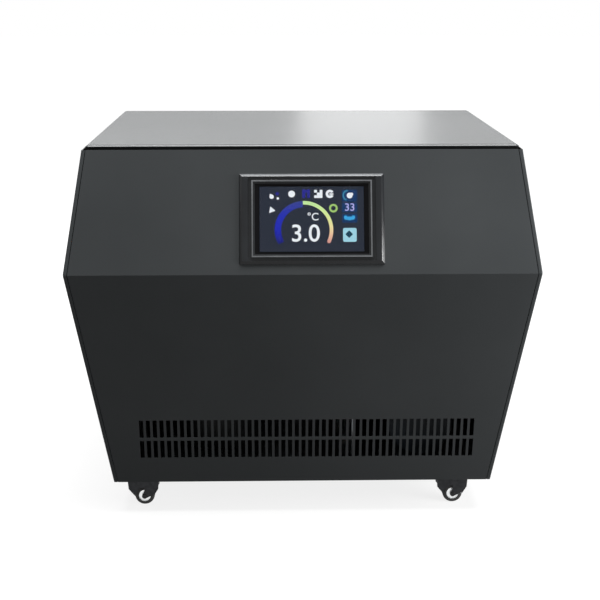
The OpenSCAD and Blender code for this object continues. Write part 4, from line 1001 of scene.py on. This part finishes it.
class CHILLER_OT_castors(bpy.types.Operator):
    """Turn the wheels and soften the pressed plates, forks and axles of the four castors"""
    bl_idname = "chiller.castors"
    bl_label = "Castors"

    def execute(self, context):
        wheel = self.wheel()
        for corner, (x, y) in CASTORS.items():
            axle_x = x * MM - TRAIL
            copy = copied(wheel, "castor_wheel_turned_" + corner)
            place(copy, shift(axle_x, y * MM, WHEEL_R))
            finished(copy, "wheel_rubber", "wheel_" + corner, "castor_wheel_" + corner)
            for part, slot, look, body in (
                    ("plate", "castor_steel", "castor_steel", "casing"),
                    ("fork", "castor_steel", "castor_steel", "swivel_" + corner),
                    ("axle", "axle_steel", "black_rivet", "swivel_" + corner)):
                piece = softened("castor_" + part + "_" + corner,
                                 "castor_" + part + "_pressed_" + corner, slot, body, PRESSED,
                                 look=look)
                if part == "fork":
                    self.close_cheeks(piece, Vector((axle_x, 0, WHEEL_R)))
        bpy.data.objects.remove(wheel)
        softened("castor_screws", "castor_screws_set", "zinc_screws", "casing", PRESSED)
        return {"FINISHED"}

    def close_cheeks(self, fork, axle):
        """Draws the cheeks' round edge in over the tread, which turns between the cheeks."""
        near, far, share = WHEEL_R + 0.5 * MM, WHEEL_R + 1.4 * MM, 0.88
        edit(fork, "VERT", lambda v: near < hypot(v.co.x - axle.x, v.co.z - axle.z) < far,
             bpy.ops.transform.resize, value=(share, 1, share), center_override=axle)

    def wheel(self):
        """Rounded tread on a dished light core, turned about the axle, in millimetres."""
        r, h, hole = WHEEL_R / MM, WHEEL_W / 2 / MM, AXLE_R / MM + 0.05
        core = r * 0.6
        half = [(hole, h), (4.8, h), (4.9, h - 1.5), (core - 0.5, h - 1.6), (core, h - 0.2),
                (core + 0.5, h - 0.05), (r - 3, h), (r - 1.7, h - 0.4), (r - 0.7, h - 1.3),
                (r - 0.15, h - 2.4), (r, h - 3.4)]
        obj = turned("castor_wheel", 48, [(hole, 0), *half, *((a, -b) for a, b in reversed(half)),
                                          (hole, 0)])
        painted(obj, "wheel_rubber", "wheel_core",
                lambda f: all(v.co.xy.length < core * MM + NEAR for v in f.verts))
        return place(smooth(obj), turn(90, "X"))


# ---------------------------------------------------------------- back

class ChillerBackSettings(bpy.types.PropertyGroup):
    """Sizes of the fan guard."""
    rings: IntProperty(name="Rings", description="Number of wire rings", default=7, min=3, max=9)
    wire: length("Wire", "Radius of the guard's wire", 1.3, 0.8, 2)


class CHILLER_OT_fan_guard(bpy.types.Operator):
    """Weld the fan guard from wire rings, spokes, a centre plate and four eyes"""
    bl_idname = "chiller.fan_guard"
    bl_label = "Fan guard"

    def execute(self, context):
        settings = context.scene.chiller_back
        wire, reach = settings.wire * MM, GUARD_R - GUARD_DISC
        parts = []
        for i in range(1, settings.rings + 1):
            bpy.ops.mesh.primitive_torus_add(
                major_radius=GUARD_DISC + i * reach / (settings.rings + 1), minor_radius=wire,
                major_segments=96, minor_segments=10)
            parts.append(place(added("ring"), shift(0, 0, wire * 2)))
        for angle in (45, 135, 225, 315):
            bpy.ops.mesh.primitive_cylinder_add(vertices=10, radius=wire, depth=reach + 2 * wire)
            out = (GUARD_R + GUARD_DISC) / 2 - wire
            spoke = place(added("spoke"), turn(angle, "Z") @ shift(out, 0, wire) @ turn(90, "Y"))
            eye = turned("eye", 32, [(7, 0), (7, 1.7), (6.7, 2), (4.1, 2), (3.8, 1.7), (3.8, 0),
                                     (7, 0)])
            parts += [spoke, place(eye, turn(angle, "Z") @ shift(GUARD_R, 0, 0))]
        disc = GUARD_DISC / MM
        parts.append(turned("plate", 64, [(0.1, 0), (disc, 0), (disc, 1.5), (disc - 0.6, 2),
                                          (30, 2), (27, 1.4), (0.1, 1.4)]))
        guard = smooth(joined(parts, "fan_guard_welded"), 40)
        place(guard, Matrix.Translation(FAN) @ turn(-90, "X"))
        finished(guard, "guard_wire", "casing", "fan_guard")
        return {"FINISHED"}


class CHILLER_OT_ports(bpy.types.Operator):
    """Turn the two hose ports with their barbs, and fit the power inlet and its rocker"""
    bl_idname = "chiller.ports"
    bl_label = "Ports and power"

    def execute(self, context):
        for name, x in PORTS.items():
            port = self.port(name + "_turned")
            place(port, shift(x * MM, REAR_Y, PORT_Z) @ turn(-90, "X"))
            finished(port, "black_plastic", "casing", name)
        softened("power_inlet", "power_inlet_moulded", "black_plastic", "casing", PRESSED)
        softened("rocker_button", "rocker_button_moulded", "rocker_plastic", "rocker", 0.4 * MM, 3)
        pins = []
        for x, z in PINS:
            pin = slab("pin", PIN_HALF_W * MM, PIN_HALF_H * MM, -PIN_ROOT * MM, -PIN_TIP * MM)
            pins.append(place(rounded(pin, 0.5 * MM, 3), shift(x * MM, REAR_Y, z * MM)))
        finished(joined(pins, "power_contacts"), "axle_steel", "casing")
        return {"FINISHED"}

    def port(self, name):
        """Flange, neck and barbed hose tail, with the bore through them, in millimetres."""
        s, bore = 12.5, 9.5
        rings = [(bore, -39.4), (s, -39.4), (s, -9.4), (15, -9.4), (15, 0), (23, 0), (23, 4.2),
                 (22.2, 5), (s + 1.5, 5), (s, 6.5), (s, 12), (s + 0.2, 12.2)]
        for z in (14, 20, 26):
            rings += [(s - 0.7, z), (s + 0.85, z + 1.6), (s - 0.7, z + 4.6)]
        rings += [(s - 0.7, 31.2), (s + 0.9, 31.6), (s + 0.9, 32.6), (s - 0.6, 34),
                  (bore + 0.6, 34), (bore, 33.4), (bore, -39.4)]
        return smooth(turned(name, 64, rings), 28)


# ---------------------------------------------------------------- stage

# Metres: the place of the camera and the point that it looks at, and its lens in millimetres
CAMERA_AT, CAMERA_AIM = Vector((-0.033, -1.6626, 0.652)), Vector((0.0003, -0.0173, 0.2323))
LENS, SENSOR = 75.2, 36
# Metres: the floor's radius, and where its glow starts to rise and is full
FLOOR_R, GLOW_NEAR, GLOW_FAR = 14, 0.35, 1.3
# The floor's glow under the object, and the world's light on the object
GLOW_LOW, AMBIENT = 0.84, 0.08
# Soft boxes: name, place, aim, width and height in metres, watts
LAMPS = (
    # High in front and overhead, and one low at the right front
    ("front", (0.15, -0.52, 2.3), (0.05, -0.25, 0.35), 2.2, 0.4, 128),
    ("overhead", (0.0, 0.55, 2.3), (0, 0.3, 0.3), 2.4, 1.2, 68),
    ("right", (0.85, -0.5, 0.36), (0.1, -0.2, 0.2), 0.5, 0.2, 13.5),
    # Behind, for the sheen of the top and of its front edge
    ("sheen", (0.26, 2.6, 0.85), (0.1, 0, 0.465), 0.42, 0.6, 1.45),
    ("edge", (0.1, 2.4, 1.75), (0, -0.19, 0.465), 2.2, 0.6, 26),
    # At the left for the side's bend, and at the left back for the ports and the fan guard
    ("strip", (-2.0, 0.15, 0.5), (-0.27, -0.2, 0.25), 0.4, 1.2, 5),
    ("back", (-1.3, 1.7, 0.9), (0, 0.2, 0.22), 1.0, 0.8, 16),
)


class CHILLER_OT_stage(bpy.types.Operator):
    """Floor, soft studio light and the camera at the photograph's angle"""
    bl_idname = "chiller.stage"
    bl_label = "Stage"

    def execute(self, context):
        scene = context.scene
        self.floor(scene.chiller_finish)
        self.world(scene)
        for name, at, aim, wide, tall, power in LAMPS:
            data = bpy.data.lights.new(name, "AREA")
            data.shape, data.size, data.size_y, data.energy = "RECTANGLE", wide, tall, power
            self.aimed(scene, data, Vector(at), Vector(aim))
        data = bpy.data.cameras.new("camera")
        data.lens, data.sensor_width = LENS, SENSOR
        scene.camera = self.aimed(scene, data, CAMERA_AT, CAMERA_AIM)
        scene.view_settings.view_transform = "Standard"
        return {"FINISHED"}

    def aimed(self, scene, data, at, aim):
        """A lamp or camera at one point that looks at another."""
        obj = bpy.data.objects.new(data.name, data)
        scene.collection.objects.link(obj)
        obj.location = at
        obj.rotation_euler = (aim - at).to_track_quat("-Z", "Y").to_euler()
        return obj

    def seen(self, tree):
        """1 for camera, gloss and glass rays, 0 for the light that the object gets."""
        rays = add(tree, "LightPath").outputs
        either = add(tree, "Math", {0: rays["Is Camera Ray"], 1: rays["Is Glossy Ray"]},
                     operation="MAXIMUM")
        return add(tree, "Math", {0: either.outputs[0], 1: rays["Is Transmission Ray"]},
                   operation="MAXIMUM").outputs[0]

    def floor(self, settings):
        """A pale floor that keeps the soft shadow and melts into the white behind."""
        bpy.ops.mesh.primitive_circle_add(vertices=96, radius=FLOOR_R, fill_type="NGON")
        floor = added("floor")
        material, tree, at = new_material("pale_floor")
        grain = add(tree, "TexNoise", {"Vector": at}, Scale=30.0)
        tone = add(tree, "Mix", {"Factor": grain.outputs["Fac"]}, data_type="RGBA")
        tone.inputs[6].default_value = tuple(settings.floor)
        tone.inputs[7].default_value = tuple(c * 0.97 for c in settings.floor[:3]) + (1,)
        away = add(tree, "VectorMath", {0: at}, operation="LENGTH")
        white = add(tree, "MapRange", {"Value": away.outputs["Value"]}, From_Min=GLOW_NEAR,
                    From_Max=GLOW_FAR, To_Min=GLOW_LOW, To_Max=1.0)
        shown = add(tree, "Math", {0: white.outputs[0], 1: self.seen(tree)},
                    operation="MULTIPLY")
        diffuse = add(tree, "BsdfDiffuse", {"Color": tone.outputs[2]})
        glow = add(tree, "Emission", {"Strength": shown.outputs[0]}, Color=(1, 1, 1, 1))
        both = add(tree, "AddShader", {0: diffuse.outputs[0], 1: glow.outputs[0]})
        add(tree, "OutputMaterial", {"Surface": both.outputs[0]})
        coat(floor, material)

    def world(self, scene):
        """Soft even light for the object, plain white for the camera, gloss and glass."""
        world = bpy.data.worlds.new("studio")
        scene.world = world
        world.use_nodes = True
        tree = world.node_tree
        tree.nodes.clear()
        light, white = (add(tree, "Background", Color=(1, 1, 1, 1), Strength=strength)
                        for strength in (AMBIENT, 1.0))
        mix = add(tree, "MixShader", {0: self.seen(tree), 1: light.outputs[0],
                                      2: white.outputs[0]})
        add(tree, "OutputWorld", {"Surface": mix.outputs[0]})


# ---------------------------------------------------------------- add-on

OPERATORS = (CHILLER_OT_finishes, CHILLER_OT_front_panel, CHILLER_OT_side_panels,
             CHILLER_OT_top_cover, CHILLER_OT_rear_panel, CHILLER_OT_display, CHILLER_OT_picture,
             CHILLER_OT_castors, CHILLER_OT_fan_guard, CHILLER_OT_ports, CHILLER_OT_stage)
GROUPS = {"chiller_casing": ChillerCasingSettings, "chiller_display": ChillerDisplaySettings,
          "chiller_finish": ChillerFinishSettings, "chiller_back": ChillerBackSettings}


class CHILLER_PT_panel(bpy.types.Panel):
    """Lists the steps in their order"""
    bl_label = "Ice bath chiller"
    bl_idname = "CHILLER_PT_panel"
    bl_space_type = "VIEW_3D"
    bl_region_type = "UI"
    bl_category = "Chiller"

    def draw(self, context):
        for operator in OPERATORS:
            self.layout.operator(operator.bl_idname)
        for group, kind in GROUPS.items():
            settings = self.layout.box()
            for prop in kind.__annotations__:
                settings.prop(getattr(context.scene, group), prop)


def register():
    for kind in (*GROUPS.values(), *OPERATORS, CHILLER_PT_panel):
        bpy.utils.register_class(kind)
    for name, group in GROUPS.items():
        setattr(bpy.types.Scene, name, PointerProperty(type=group))


def unregister():
    for name in GROUPS:
        delattr(bpy.types.Scene, name)
    for kind in (CHILLER_PT_panel, *reversed(OPERATORS), *reversed(tuple(GROUPS.values()))):
        bpy.utils.unregister_class(kind)


def main():
    """Runs every step in order."""
    register()
    for operator in OPERATORS:
        group, name = operator.bl_idname.split(".")
        if getattr(getattr(bpy.ops, group), name)() != {"FINISHED"}:
            raise RuntimeError(operator.bl_label + " did not finish")


if __name__ == "__main__":
    main()
